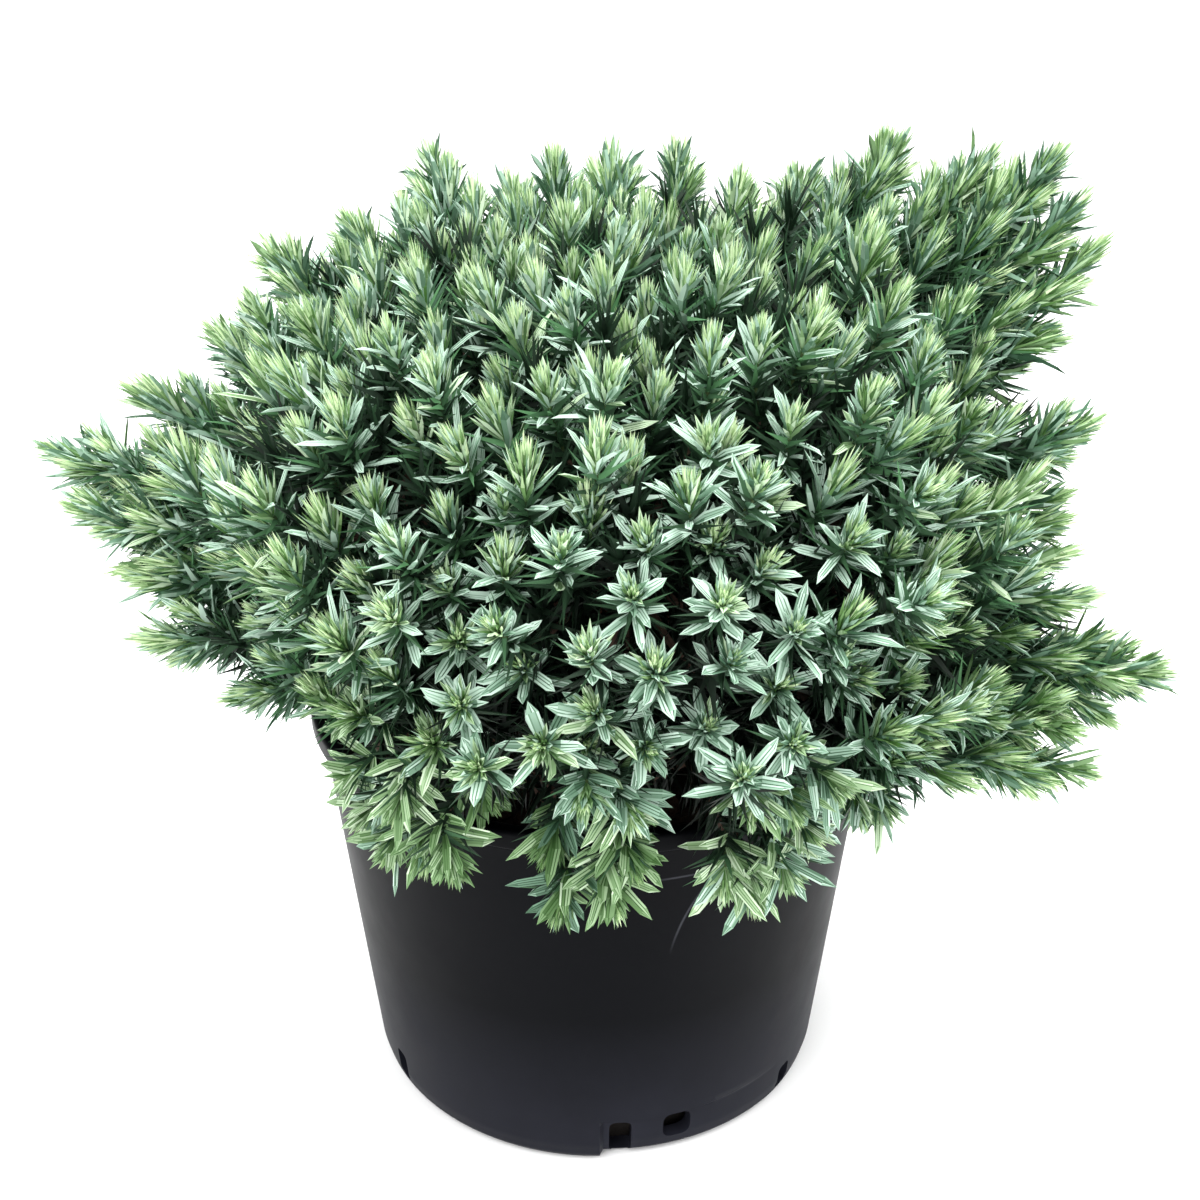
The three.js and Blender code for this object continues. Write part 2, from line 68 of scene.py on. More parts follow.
# ------------------------------------------------------------------ the crown's outline
# The same rule as the solids follow: seen from the middle of the crown, each direction
# belongs to the mass it lies nearest to, and reaches as far as the masses round it do.
CROWN_MIDDLE = np.array((0.0, 0.0, 195.0)) * MM
BLEND = 14
VALLEY_DEPTH = 0.07
VALLEY_WIDTH = 0.05
LEADER_WIDTH = math.radians(7)
HEART = 76 * MM
RIM_GAP = 1.6 * MM
TUCK_FROM = -8
TUCK = 0.01

# name, degrees round from +X, degrees up, reach in millimetres
MASSES = (
    ("skirt_left", 182, -4, 150),
    ("skirt_left_front", 222, -3, 136),
    ("skirt_front_left", 254, -6, 164),
    ("skirt_front_right", 287, -6, 166),
    ("skirt_right_front", 321, -5, 162),
    ("skirt_right", 355, -5, 174),
    ("skirt_back_right", 32, 0, 186),
    ("skirt_back", 84, 0, 175),
    ("skirt_back_left", 138, 0, 170),
    ("shoulder_left", 180, 22, 176),
    ("shoulder_front_left", 230, 33, 182),
    ("shoulder_front", 276, 34, 178),
    ("shoulder_front_right", 320, 32, 180),
    ("shoulder_right", 12, 34, 188),
    ("shoulder_back_right", 58, 40, 184),
    ("shoulder_back_left", 122, 42, 177),
    ("top", 230, 84, 150),
)

# The shoots that stand out beyond their mass: degrees round, degrees up, reach.
LEADERS = (
    (181, 18, 216), (185, 14, 203), (187, 10, 188), (178, 20, 201), (189, 8.5, 180),
    (194, 2, 177), (205, -3, 150), (175, 25.3, 197), (160, 30, 190), (147, 37, 202),
    (134, 40, 199), (126, 43, 186), (120, 47, 209), (106, 46, 195), (98, 48, 201),
    (87, 48, 203), (74, 48, 204), (62, 43.5, 196), (51, 45, 207), (39, 45, 227),
    (27, 42, 236), (20, 40, 249), (16, 37, 243), (13, 33.5, 239), (8.5, 31.5, 214),
    (0, 22, 202), (357, 16, 184), (355, 14, 189), (353, 10, 184),
    (352, 5, 191), (352, -4, 221), (350, -7, 213), (344, -8, 194), (342, -12, 199),
    (337, -12, 186), (328, -11, 163),
)
# Where no shoot has grown: degrees round, degrees up, half width.
GAPS = ((4, 27, 8.5), (288, 15, 4), (300, 12, 5), (40, 42, 4), (182, 33, 5))
# The lowest that shoots grow of themselves: degrees round, degrees up.
HEM = (
    (0, -12), (90, -8.5), (165, -6), (178, 5), (190, 4), (197, 4), (207, 6), (225, 7),
    (245, 8), (300, 8), (312, 2), (322, -6), (335, -9), (345, -12), (360, -12),
)
# Bunches that hang over the rim: the bearing each spreads from, then its shoots'
# degrees round, degrees up and reach.
HANGING = (
    (240, ((221, -16, 125), (227, -20, 131), (235, -22, 136), (243, -9, 141),
           (245, -19, 139), (252, -16, 143), (256, -9, 124))),
    (269, ((264, -23, 143), (262, -16, 132), (273, -19, 147), (276, -13, 143),
           (276, -3, 148), (269, 1, 152))),
    (294, ((288, -20, 142), (293, -23, 146), (299, -20, 146), (303, -15, 142),
           (296, -6, 148), (288, -2, 152), (303, -3, 150))),
    (319, ((321, -20, 141), (316, -20, 137))),
)
HANG_OUT = 0.6
HANG_FAN = 0.05

# The pot's drain holes: degrees round, then width, lower and upper edge in millimetres.
DRAINS = (
    (-84, 8.5, 2.2, 19), (-70, 11, 8, 20), (-35.5, 7.5, 3, 15),
    (213, 7, 5, 18.5), (96, 8.5, 2.2, 19), (110, 11, 8, 20),
)
# Where the pot's foot is set back: from a step to where it has run out, in degrees round.
RECESSES = ((-88.5, -40), (91.5, 140))
# Handling scratches on the wall: middle, centre and radius of the arc, half length.
SCRATCHES = (
    ((31.5, -98, 121), (100, 0, 92), 75, 17),
    ((29, -100, 140), (29, 0, -160), 300, 13),
)

# The trunk rises through these points. Boughs leave it at two heights in each ring.
TRUNK_BEND = np.array((4, 1, 186)) * MM
TRUNK_TOP = np.array((3, -2, 222)) * MM
BOUGH_HEIGHTS = {"skirt": (166, 181), "shoulder": (194, 207)}
BOUGH_REACH = 70 * MM
BOUGH_GAP = 0.3 * MM
STEM_FILL = 0.62
STEM_RADII = np.linspace(2.3, 1.7, 6) * MM
TWIG_RADII = np.linspace(1.4, 0.8, 7) * MM

# How often bark flakes follow each other across and along a limb, for each metre.
FLAKES = (420, 420, 95)
# The thick wall behind the set back foot ends this far above it.
THICK_OVER = 2 * MM

# How shoots are dealt out over a mass: the angle it spreads over and how far each place
# wanders, how much shorter some are, and how close candidates lie for each shoot kept.
FIRST_SEED = 101
SPREAD = 0.9
WANDER = 0.05
SHORTER = 0.11
CANDIDATES = 0.45
# Side shoots behind a long leader's tip: from where, how far apart and how far aside.
ARM_FROM = 12 * MM
ARM_STEP = 8 * MM
ARM_SPREAD = 11 * MM
ARM_FLARE = 0.55
ARM_CROWDING = 0.62
LEADER_LIFT = 0.16
# Shoots inside the crown, with needles painted dark as painted shade: their spacing, share of
# its reach and degrees below its hem.
INNER_SPACING = 0.8
INNER_SHARE = (0.5, 0.86)
INNER_BELOW = 8
# How shoots turn up to the light, hang below the rim and sway aside.
SHOOT_LIFT = 0.5
SHOOT_HANG = 0.045
SHOOT_SWAY = 0.34
# Where the needles inside the crown are painted darkest, as painted shade between its shoots:
# degrees round, up and wide.
DEEPEST_PAINTED_SHADE = (285, -4, 42)

# The studio's softboxes, all aimed at one point: name, place, width and power in watts.
LIT_POINT = (0, 0, 0.2)
SOFTBOXES = (
    ("key_softbox", (-0.9, -1.3, 1.9), 1.8, 42),
    ("fill_softbox", (1.5, -0.6, 1.3), 1.8, 24),
    ("top_softbox", (0.1, 0.5, 2.2), 2.0, 64),
)


# ------------------------------------------------------------------ sizes and colours
def length(name, description, default, high=1.0):
    return FloatProperty(
        name=name, description=description, default=default, min=0, max=high,
        unit="LENGTH", precision=4,
    )


def whole_number(name, description, default, low, high):
    return IntProperty(
        name=name, description=description, default=default, min=low, max=high,
    )


def hex_colour(value):
    """A linear colour, as Blender's sockets take it, from an sRGB hex value."""
    shares = [((value >> shift) & 255) / 255 for shift in (16, 8, 0)]
    return tuple(
        s / 12.92 if s <= 0.04045 else ((s + 0.055) / 1.055) ** 2.4 for s in shares
    )


def colour(name, description, value):
    return FloatVectorProperty(
        name=name, description=description, default=hex_colour(value), size=3,
        min=0, max=1, subtype="COLOR",
    )


class JuniperPotSettings(bpy.types.PropertyGroup):
    height: length("Height", "From the underside to the top of the lip", 162 * MM)
    foot_radius: length("Foot radius", "Wall radius at the underside", 91 * MM)
    top_radius: length("Top radius", "Wall radius at the lip", 107 * MM)
    lip_radius: length("Lip radius", "Outer radius of the lip", 109.8 * MM)
    lip_height: length("Lip height", "Depth of the lip", 8 * MM)
    wall: length("Wall", "Thickness of the wall", 2.4 * MM)
    floor: length("Floor", "Thickness of the floor", 3 * MM)
    foot_round: length("Foot rounding", "Radius between wall and underside", 4.5 * MM)
    foot_ring: length("Foot ring", "Height of the thin ring it stands on", 1.2 * MM)
    recess_height: length("Recess height", "Top of the set back foot", 21 * MM)
    recess: length("Recess", "How far the foot is set back", 2.6 * MM)
    segments: whole_number("Segments", "Faces round the pot", 360, 90, 720)
    plastic: colour("Plastic", "Near black recycled polyethylene", 0x040508)
    # Paler plastic near the foot: partly splashed soil, partly a painted reflection of the
    # floor. It is also the painted light on the set back foot.
    dust_and_painted_light: colour("Dust", "Plastic dulled by splashed soil near the foot", 0x22232B)
    scuff: colour("Scuffs", "Plastic turned pale by rubbing", 0x36373C)


class JuniperMixSettings(bpy.types.PropertyGroup):
    level: length("Level", "Height of the surface of the mix", 147 * MM)
    chip_length: length("Chip length", "Length of the largest bark chips", 13 * MM)
    chips: whole_number("Chips", "Bark chips on the surface", 420, 0, 3000)
    # Both colours are the mix's own damp browns, made darker still as painted shade under the
    # crown.
    damp_and_painted_shade: colour("Damp mix", "Composted fines between the chips", 0x16100B)
    chip: colour("Bark chip", "Outside of a chip", 0x33241A)


class JuniperLimbSettings(bpy.types.PropertyGroup):
    foot_radius: length("Foot radius", "Trunk radius above the flare", 11 * MM)
    tip_radius: length("Tip radius", "Trunk radius at its top", 6 * MM)
    flare: length("Flare", "How much wider the trunk is at the mix", 5.5 * MM)
    bough_root: length("Bough root", "Bough radius at the trunk", 4 * MM)
    bough_tip: length("Bough tip", "Bough radius where it enters its mass", 2.4 * MM)
    relief: length("Bark relief", "Depth of the flakes", 0.9 * MM)
    # Both bark colours are made darker than the bark's own, as painted shade inside the crown.
    bark: colour("Bark", "Weathered outer flakes", 0x4A382D)
    inner_bark: colour("Inner bark", "Reddish bark between the flakes", 0x4E2E1F)


class JuniperNeedleSettings(bpy.types.PropertyGroup):
    spacing: length("Spacing", "Least distance from shoot to shoot", 18.3 * MM)
    blade_length: length("Blade length", "Length of a grown needle", 16.5 * MM)
    blade_width: length("Blade width", "Width of a grown needle", 4.3 * MM)
    half_grown_width: length("Half grown width", "Width round the tuft", 2.2 * MM)
    young_width: length("Young width", "Width of a young needle", 1.25 * MM)
    old_width: length("Old width", "Width of an old needle", 2.3 * MM)
    inner_width: length("Inner width", "Width of an inner needle", 2.8 * MM)
    tuft_length: length("Tuft length", "Height of a full tuft above its rosette", 27 * MM)
    blades: whole_number("Blades", "Grown needles in a rosette", 14, 3, 30)
    half_grown: whole_number("Half grown", "Narrow needles above the rosette", 16, 0, 30)
    tuft_needles: whole_number("Tuft needles", "Young needles in a tuft", 58, 6, 90)
    old_needles: whole_number("Old needles", "Needles on the twig below a rosette", 54, 4, 120)
    old_run: length("Old needle run", "Length of twig clothed with old needles", 36 * MM)
    inner_needles: whole_number("Inner needles", "Needles on a shaded inner shoot", 26, 4, 120)
    bloom: colour("Bloom", "Pale waxy bands of a grown needle", 0xBFD8C8)
    keel: colour("Keel", "Darkest green of a grown needle", 0x2A4832)
    warm_bloom: colour("Green bloom", "Lightest green of a younger needle", 0xC8DDBE)
    warm_keel: colour("Green keel", "Darkest green of a younger needle", 0x36562A)
    young: colour("Young green", "Darkest green of a young tuft", 0x4C733A)
    tip: colour("Young tip", "Lightest tip of a young tuft", 0xD4E8BC)
    old: colour("Old green", "Lightest of the needles below the shoots", 0x5B8A5E)
    # The old needles run from their own green down to near black, which is painted shade deep in
    # the crown.
    shaded: colour("Shaded green", "Darkest of the needles inside the crown", 0x07120A)
    # The twig green is made darker than its own, as painted shade inside the crown.
    twig: colour("Twig", "Green bark of this year's twigs", 0x33441F)


class JuniperStageSettings(bpy.types.PropertyGroup):
    floor: colour("Floor", "Pale studio floor", 0xFDFDFD)
    sky: FloatProperty(
        name="Sky", description="Strength of the even light all round", default=1.06, min=0,
    )
    lens: FloatProperty(
        name="Lens", description="Focal length on a 36 mm sensor", default=48, unit="CAMERA",
    )
    aside: length("Aside", "How far right of the middle the camera stands", 1.7 * MM)
    pitch: FloatProperty(
        name="Pitch", description="How far the camera looks down",
        default=math.radians(26.2), subtype="ANGLE",
    )
    distance: length("Distance", "From the camera to the crown's middle", 608 * MM, 10)


# ------------------------------------------------------------------ small helpers
def deselect_all():
    if bpy.context.object is not None and bpy.context.object.mode != "OBJECT":
        bpy.ops.object.mode_set(mode="OBJECT")
    bpy.ops.object.select_all(action="DESELECT")


def select_only(piece):
    deselect_all()
    piece.select_set(True)
    bpy.context.view_layer.objects.active = piece


def apply_place(piece):
    """Puts the object at the origin, unturned and unscaled, with its place in its mesh."""
    select_only(piece)
    bpy.ops.object.transform_apply(location=True, rotation=True, scale=True)


def apply_modifiers(piece):
    select_only(piece)
    for modifier in list(piece.modifiers):
        bpy.ops.object.modifier_apply(modifier=modifier.name)


def hand_over(piece, slot, *nodes):
    """Hangs a finished piece under the root body and hides the parts of model.glb that it takes
    the place of.
    """
    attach(piece, "root")
    if nodes:
        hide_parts(*nodes)


def add_node(tree, kind, inputs, output=0, **settings):
    """Adds a shader node, links or sets its inputs, and gives one of its outputs."""
    node = tree.nodes.new(kind)
    for key, value in settings.items():
        setattr(node, key, value)
    for key, value in inputs.items():
        if isinstance(value, bpy.types.NodeSocket):
            tree.links.new(value, node.inputs[key])
        else:
            node.inputs[key].default_value = value
    return node.outputs[output]


def own_place(tree):
    """Where a point of the surface lies, so that a pattern stays on its piece."""
    return add_node(tree, "ShaderNodeTexCoord", {}, "Object")


def calculate(tree, operation, first, second):
    """One operation on two numbers."""
    return add_node(tree, "ShaderNodeMath", {0: first, 1: second}, operation=operation)


def rescale(tree, value, from_low, from_high, to_low=0.0, to_high=1.0):
    """Takes a value from one range to another and holds it there."""
    return add_node(tree, "ShaderNodeMapRange", {
        "Value": value, "From Min": from_low, "From Max": from_high,
        "To Min": to_low, "To Max": to_high,
    })


def blend_colours(tree, share, first, second):
    """A colour that goes from the first to the second with a share."""
    inputs = {"Factor": share, 6: first, 7: second}
    return add_node(tree, "ShaderNodeMix", inputs, 2, data_type="RGBA")


def new_material(name, base, roughness, specular=0.5, ior=1.5):
    """A material with a plain base colour, and its shader."""
    material = bpy.data.materials.new(name)
    material.use_nodes = True
    shader = material.node_tree.nodes["Principled BSDF"]
    shader.inputs["Base Color"].default_value = (*base, 1)
    shader.inputs["Roughness"].default_value = roughness
    shader.inputs["Specular IOR Level"].default_value = specular
    shader.inputs["IOR"].default_value = ior
    return material, shader


def grained_material(name, base, shine, stretch, grain, stops, relief):
    """A matt material with a grain that shows in its colour and its relief. Shine is its
    roughness and specular, grain is the noise's scale, detail and roughness, stops are
    two (position, colour) and relief is (strength, height)."""
    material, shader = new_material(name, base, *shine)
    tree = material.node_tree
    place = add_node(
        tree, "ShaderNodeMapping", {"Vector": own_place(tree), "Scale": stretch}
    )
    scale, detail, rough = grain
    noise_at = add_node(tree, "ShaderNodeTexNoise", {
        "Vector": place, "Scale": scale, "Detail": detail, "Roughness": rough,
    }, "Fac")
    tinted = add_node(tree, "ShaderNodeValToRGB", {"Fac": noise_at}, "Color")
    for element, (position, tint) in zip(tinted.node.color_ramp.elements, stops, strict=True):
        element.position = position
        element.color = (*tint, 1)
    strength, height = relief
    bump = add_node(
        tree, "ShaderNodeBump", {"Height": noise_at, "Strength": strength, "Distance": height}
    )
    tree.links.new(tinted, shader.inputs["Base Color"])
    tree.links.new(bump, shader.inputs["Normal"])
    return material


def unit(vectors):
    return vectors / np.linalg.norm(vectors, axis=-1, keepdims=True)


def direction(azimuth, elevation):
    a, e = np.radians(azimuth), np.radians(elevation)
    return np.stack((np.cos(a) * np.cos(e), np.sin(a) * np.cos(e), np.sin(e)), -1)


def sideways(axes, rolls):
    """Two directions across each axis, turned round it by a roll."""
    helper = np.where(np.abs(axes[:, 2:3]) < 0.9, UP, np.array((1.0, 0.0, 0.0)))
    first = unit(np.cross(axes, helper))
    second = np.cross(axes, first)
    c, s = np.cos(rolls)[:, None], np.sin(rolls)[:, None]
    return c * first + s * second, c * second - s * first


# ------------------------------------------------------------------ crown envelope
def ways_and_reaches(rows):
    """Directions and reaches from rows of degrees round, degrees up and reach."""
    bearings, elevations, reaches = np.array(rows, float).T
    return direction(bearings, elevations), reaches * MM


MASS_NAMES = [row[0] for row in MASSES]
MASS_WAYS, MASS_REACH = ways_and_reaches([row[1:] for row in MASSES])
LEADER_WAYS, LEADER_REACH = ways_and_reaches(LEADERS)


def blended_reach(towards):
    weight = np.exp(BLEND * (towards @ MASS_WAYS.T - 1))
    return weight @ MASS_REACH / weight.sum(1)


LEADER_EXTRA = np.maximum(0, LEADER_REACH - blended_reach(LEADER_WAYS))


def elevation_of(towards):
    return np.degrees(np.arcsin(np.clip(towards[:, 2], -1, 1)))


def reach_at(towards):
    nearness = np.sort(towards @ MASS_WAYS.T, axis=1)
    edge = (nearness[:, -1] - nearness[:, -2]) / VALLEY_WIDTH
    valley = 1 - VALLEY_DEPTH * np.exp(-edge * edge)
    off = np.arccos(np.clip(towards @ LEADER_WAYS.T, -1, 1)) / LEADER_WIDTH
    extra = (LEADER_EXTRA * np.exp(-off * off)).max(1)
    tuck = 1 - TUCK * np.maximum(0, TUCK_FROM - elevation_of(towards))
    return (blended_reach(towards) * valley + extra) * tuck


def hem_at(towards):
    """The elevation in degrees down to which shoots grow of themselves."""
    azimuth = np.degrees(np.arctan2(towards[:, 1], towards[:, 0])) % 360
    bearings, levels = zip(*HEM, strict=True)
    return np.interp(azimuth, bearings, levels)


def pot_wall(z, settings):
    share = z / settings.height
    return settings.foot_radius + (settings.top_radius - settings.foot_radius) * share


def pot_inside(z, settings):
    """The inner radius, which leaves the wall thicker behind the set back foot."""
    thick_top = settings.recess_height + THICK_OVER
    thicker = np.where(z < thick_top + 1 * MM, settings.recess, 0)
    return pot_wall(z, settings) - settings.wall - thicker


def clear_of_pot(points):
    """Which points lie above the pot's rim or outside its wall."""
    settings = bpy.context.scene.juniper_pot
    round_ = np.hypot(points[..., 0], points[..., 1])
    z = points[..., 2]
    wall = np.where(
        z > settings.height - settings.lip_height - RIM_GAP,
        settings.lip_radius,
        pot_wall(z, settings),
    )
    above = z > settings.height + RIM_GAP
    return above | (round_ > wall + RIM_GAP)


# ------------------------------------------------------------------ where shoots stand
def growth_axes(towards, sway):
    """Shoots grow outwards and lifted to the light, or hang below the rim."""
    elevation = elevation_of(towards)
    lift = np.where(
        elevation > 0,
        SHOOT_LIFT + 0.35 * np.sin(np.radians(2 * elevation)),
        SHOOT_LIFT + elevation * SHOOT_HANG,
    )
    return unit(towards + UP * lift[:, None] + sway * SHOOT_SWAY)


def near(towards, azimuth, elevation, width):
    """How near directions are to one place on the crown, from 0 to 1."""
    off = np.arccos(np.clip(towards @ direction(azimuth, elevation), -1, 1))
    return np.exp(-(off / math.radians(width)) ** 2)


class Shoots:
    """The shoots of one mass, as arrays with one row for each shoot. Those that stand
    out on an arm come first, then those that hang over the rim."""

    def __init__(self, order, towards, tips, axes, arms, hung, rng):
        count = len(tips)
        self.order = order
        self.name = MASS_NAMES[order]
        self.towards = towards
        self.tips = tips
        self.axes = axes
        self.stem_tip = CROWN_MIDDLE + MASS_WAYS[order] * STEM_FILL * MASS_REACH[order]
        self.roll = rng.uniform(0, 2 * math.pi, count)
        self.long = np.arange(count) < arms + hung
        self.hung = self.long & (np.arange(count) >= arms)
        strong, usual = rng.uniform(1, 1.2, count), rng.uniform(0.74, 1.18, count)
        self.vigour = np.where(self.long, strong, usual)
        # Tufts are tall in the sun at the top and the sides, and short in the middle of
        # the front, where the grown needles are at their bluest.
        cool = near(towards, 282, 12, 27)
        youth = 0.9 - 0.72 * cool + rng.uniform(-0.25, 0.2, count)
        self.youth = np.clip(youth * np.where(self.hung, 0.3, 1), 0.06, 1)
        # Low at the front the rosettes spread as flat stars. Elsewhere the needles point
        # along the shoot as a plume.
        star = np.maximum(cool, near(towards, 258, 6, 22))
        plume = 1 - 1.15 * star + rng.uniform(-0.2, 0.2, count)
        self.plume = np.clip(np.where(self.hung, 0.4, plume), 0, 1)
        # Young growth is yellower where it hangs, low on the left and at the right's tips.
        warm = 0.3 + 0.5 * near(towards, 246, -2, 26) + 0.3 * near(towards, 350, -2, 36)
        warm += np.where(self.hung, 0.4, 0) - 0.4 * near(towards, 282, 20, 24)
        self.warm = np.clip(warm + rng.uniform(-0.3, 0.3, count), 0, 1)
        # Painted light and shade: the needles are painted lightest at the top and the low left,
        # and darkest in the middle of the front, where the shade between shoots is deepest.
        light = 0.4 + 0.9 * near(towards, 225, 72, 52) + 0.5 * near(towards, 195, 0, 24)
        light += 0.5 * near(towards, 275, 52, 26) - 0.2 * near(towards, 22, 38, 24)
        light -= 0.3 * near(towards, 350, -2, 30)
        # Hanging shoots are painted darker, the middle bunch most: painted shade under the
        # crown.
        light -= np.where(self.hung, 0.3 + 1.4 * near(towards, 262, -14, 20), 0)
        self.shade = rng.uniform(-0.5, 0.5, count) + light
        # How open the crown is to light there, which lightens the painted shade of the needles
        # inside it.
        self.open = 1 - near(towards, *DEEPEST_PAINTED_SHADE)

    def height(self, settings):
        """How far each shoot's tuft stands above its rosette."""
        return settings.tuft_length * self.vigour * (0.36 + 0.64 * self.youth)

    def below_tip(self, index, depth):
        """Points on the axes of shoots, each at a depth below its shoot's tip."""
        return self.tips[index] - self.axes[index] * depth[:, None]

    def plumed(self, index, star, plume):
        """A value for copies on shoots, between those for a star and for a plume."""
        share = self.plume[index]
        return star * (1 - share) + plume * share

    def rng(self, salt):
        return np.random.RandomState(1000 * salt + self.order)


def spiral_ways(order, spacing, rng, below=0):
    """Directions dealt out evenly over a mass's share of the crown, down to its hem or
    some degrees below that."""
    reach = MASS_REACH[order]
    count = round(2 * math.pi * (1 - math.cos(SPREAD)) / (spacing / reach) ** 2)
    k = np.arange(count)
    off = SPREAD * np.sqrt((k + 0.4) / count) + (rng.uniform(0, 1, count) - 0.5) * WANDER
    turn = rng.uniform(0, 2 * math.pi) + k * GOLDEN_ANGLE
    way = MASS_WAYS[order]
    first, second = sideways(way[None], np.zeros(1))
    across = np.cos(turn)[:, None] * first + np.sin(turn)[:, None] * second
    towards = unit(np.cos(off)[:, None] * way + np.sin(off)[:, None] * across)
    own = (towards @ MASS_WAYS.T).argmax(1) == order
    return towards[own & (elevation_of(towards) > hem_at(towards) - below)]


def thinned(tips, gap, others=()):
    """The numbers of those tips that keep a distance from all others and earlier ones."""
    kept = []
    for i, tip in enumerate(tips):
        standing = np.vstack((*others, tips[kept]))
        if np.linalg.norm(standing - tip, axis=1).min(initial=math.inf) > gap:
            kept.append(i)
    return kept


def leader_shoots(order, spacing, rng):
    """The tips of a mass's leaders and of the side shoots that long ones carry behind
    their tip, with the directions they grow in."""
    tips, axes = [], []
    for number in np.flatnonzero((LEADER_WAYS @ MASS_WAYS.T).argmax(1) == order):
        way = LEADER_WAYS[number]
        tip = CROWN_MIDDLE + way * LEADER_REACH[number]
        tips.append(tip)
        axes.append(unit(way + UP * LEADER_LIFT))
        first, second = sideways(way[None], rng.uniform(0, 2 * math.pi, 1))
        side_shoots = int((LEADER_EXTRA[number] - ARM_FROM) / ARM_STEP * 2) + 2
        for k in range(max(0, side_shoots)):
            turn = k * GOLDEN_ANGLE
            across = (math.cos(turn) * first + math.sin(turn) * second)[0]
            back = ARM_STEP * (0.8 + 0.5 * k)
            tips.append(tip - way * back + across * ARM_SPREAD * (1 + 0.1 * k))
            axes.append(unit(way + UP * LEADER_LIFT + across * ARM_FLARE))
    tips = np.array(tips).reshape(-1, 3)
    kept = thinned(tips, spacing * ARM_CROWDING)
    return tips[kept], np.array(axes).reshape(-1, 3)[kept]


def hanging_shoots(order):
    """The tips of a mass's shoots that hang over the rim. They grow downwards, outwards
    and away from the bearing that their bunch spreads from."""
    tips, axes = [], []
    for spread_from, bunch in HANGING:
        for azimuth, elevation, reach in bunch:
            way = direction(azimuth, elevation)
            if (MASS_WAYS @ way).argmax() != order:
                continue
            outwards = direction(azimuth, 0)
            aside = np.cross(UP, outwards) * (azimuth - spread_from) * HANG_FAN
            down = UP * np.clip(0.35 - 0.05 * elevation, 0.2, 1.1)
            tips.append(CROWN_MIDDLE + way * reach * MM)
            axes.append(unit(outwards * HANG_OUT + aside - down))
    return np.array(tips).reshape(-1, 3), np.array(axes).reshape(-1, 3)


def outside_gaps(towards):
    inside = np.zeros(len(towards), bool)
    for azimuth, elevation, width in GAPS:
        inside |= towards @ direction(azimuth, elevation) > math.cos(math.radians(width))
    return ~inside


@lru_cache(maxsize=None)
def crown():
    """All the shoots, mass by mass: the long ones first, then a spiral over each mass."""
    spacing = bpy.context.scene.juniper_needles.spacing
    leading = CROWN_MIDDLE + LEADER_WAYS * LEADER_REACH[:, None]
    hanging = [hanging_shoots(order) for order in range(len(MASSES))]
    standing = np.vstack((leading, *(tips for tips, axes in hanging)))
    masses = []
    for order, (hung, hung_axes) in enumerate(hanging):
        rng = np.random.RandomState(FIRST_SEED + order)
        arms, arm_axes = leader_shoots(order, spacing, rng)
        towards = spiral_ways(order, spacing * CANDIDATES, rng)
        towards = towards[outside_gaps(towards)]
        shorter = 1 - SHORTER * rng.uniform(0, 1, len(towards))
        tips = CROWN_MIDDLE + towards * (reach_at(towards) * shorter)[:, None]
        kept = thinned(tips, spacing, (standing, arms))
        axes = growth_axes(towards[kept], rng.uniform(-1, 1, (len(kept), 3)))
        tips = np.vstack((arms, hung, tips[kept]))
        axes = np.vstack((arm_axes, hung_axes, axes))
        standing = np.vstack((standing, tips))
        masses.append(Shoots(
            order, unit(tips - CROWN_MIDDLE), tips, axes, len(arms), len(hung), rng,
        ))
    return masses


def twig_paths(shoots, rings):
    """A curved path from the mass's stem to the foot of each shoot's rosette."""
    settings = bpy.context.scene.juniper_needles
    foot = shoots.tips - shoots.axes * shoots.height(settings)[:, None]
    gap = np.linalg.norm(foot - shoots.stem_tip, axis=1)[:, None]
    bend = (foot - shoots.axes * gap * 0.45)[:, None]
    t = np.linspace(0, 1, rings)[None, :, None]
    start = np.repeat(shoots.stem_tip[None, None], len(foot), 0)
    return (1 - t) ** 2 * start + 2 * t * (1 - t) * bend + t * t * foot[:, None]


# ------------------------------------------------------------------ meshes from arrays
def joined_mesh(name, batches, materials):
    """One object from batches of copies: each batch has its copies' points, the
    triangles of one copy and their material numbers."""
    vertices, faces, finish = join(batches)
    mesh = bpy.data.meshes.new(name)
    mesh.vertices.add(len(vertices))
    mesh.vertices.foreach_set("co", vertices.astype(np.float32).ravel())
    mesh.loops.add(faces.size)
    mesh.loops.foreach_set("vertex_index", faces.astype(np.int32).ravel())
    mesh.polygons.add(len(faces))
    mesh.polygons.foreach_set("loop_start", np.arange(0, faces.size, 3, dtype=np.int32))
    mesh.polygons.foreach_set("material_index", finish.astype(np.int32))
    for material in materials:
        mesh.materials.append(material)
    mesh.update(calc_edges=True)
    mesh.validate()
    piece = bpy.data.objects.new(name, mesh)
    bpy.context.scene.collection.objects.link(piece)
    select_only(piece)
    bpy.ops.object.shade_smooth_by_angle(angle=math.radians(35))
    return piece


class Outline:
    """A small closed form to be repeated: its points as (across, along, deep), its
    triangles, how light each triangle is and which streak it belongs to."""

    def __init__(self):
        self.points, self.faces, self.light, self.streak = [], [], [], []

    def triangle(self, corners, light, streak=0):
        self.faces.append(corners)
        self.light.append(light)
        self.streak.append(streak)

    def quad(self, a, b, c, d, light, streak=0):
        self.triangle((a, b, c), light, streak)
        self.triangle((a, c, d), light, streak)

    def tube(self, sides, lights):
        """The faces of a tube of rings, closed at its root and pointed at its tip."""
        for ring, light in enumerate(lights):
            start = ring * sides
            for k in range(sides):
                a, b = start + (k + 1) % sides, start + k
                if ring == len(lights) - 1:
                    self.triangle((a, b, start + sides), light)
                else:
                    self.quad(a, b, b + sides, a + sides, light)
        for k in range(1, sides - 1):
            self.triangle((0, k, k + 1), lights[0])

    def done(self):
        self.points = np.array(self.points, float)
        self.faces = np.array(self.faces, int)
        self.light = np.array(self.light, float)
        self.streak = np.array(self.streak, int)
        return self


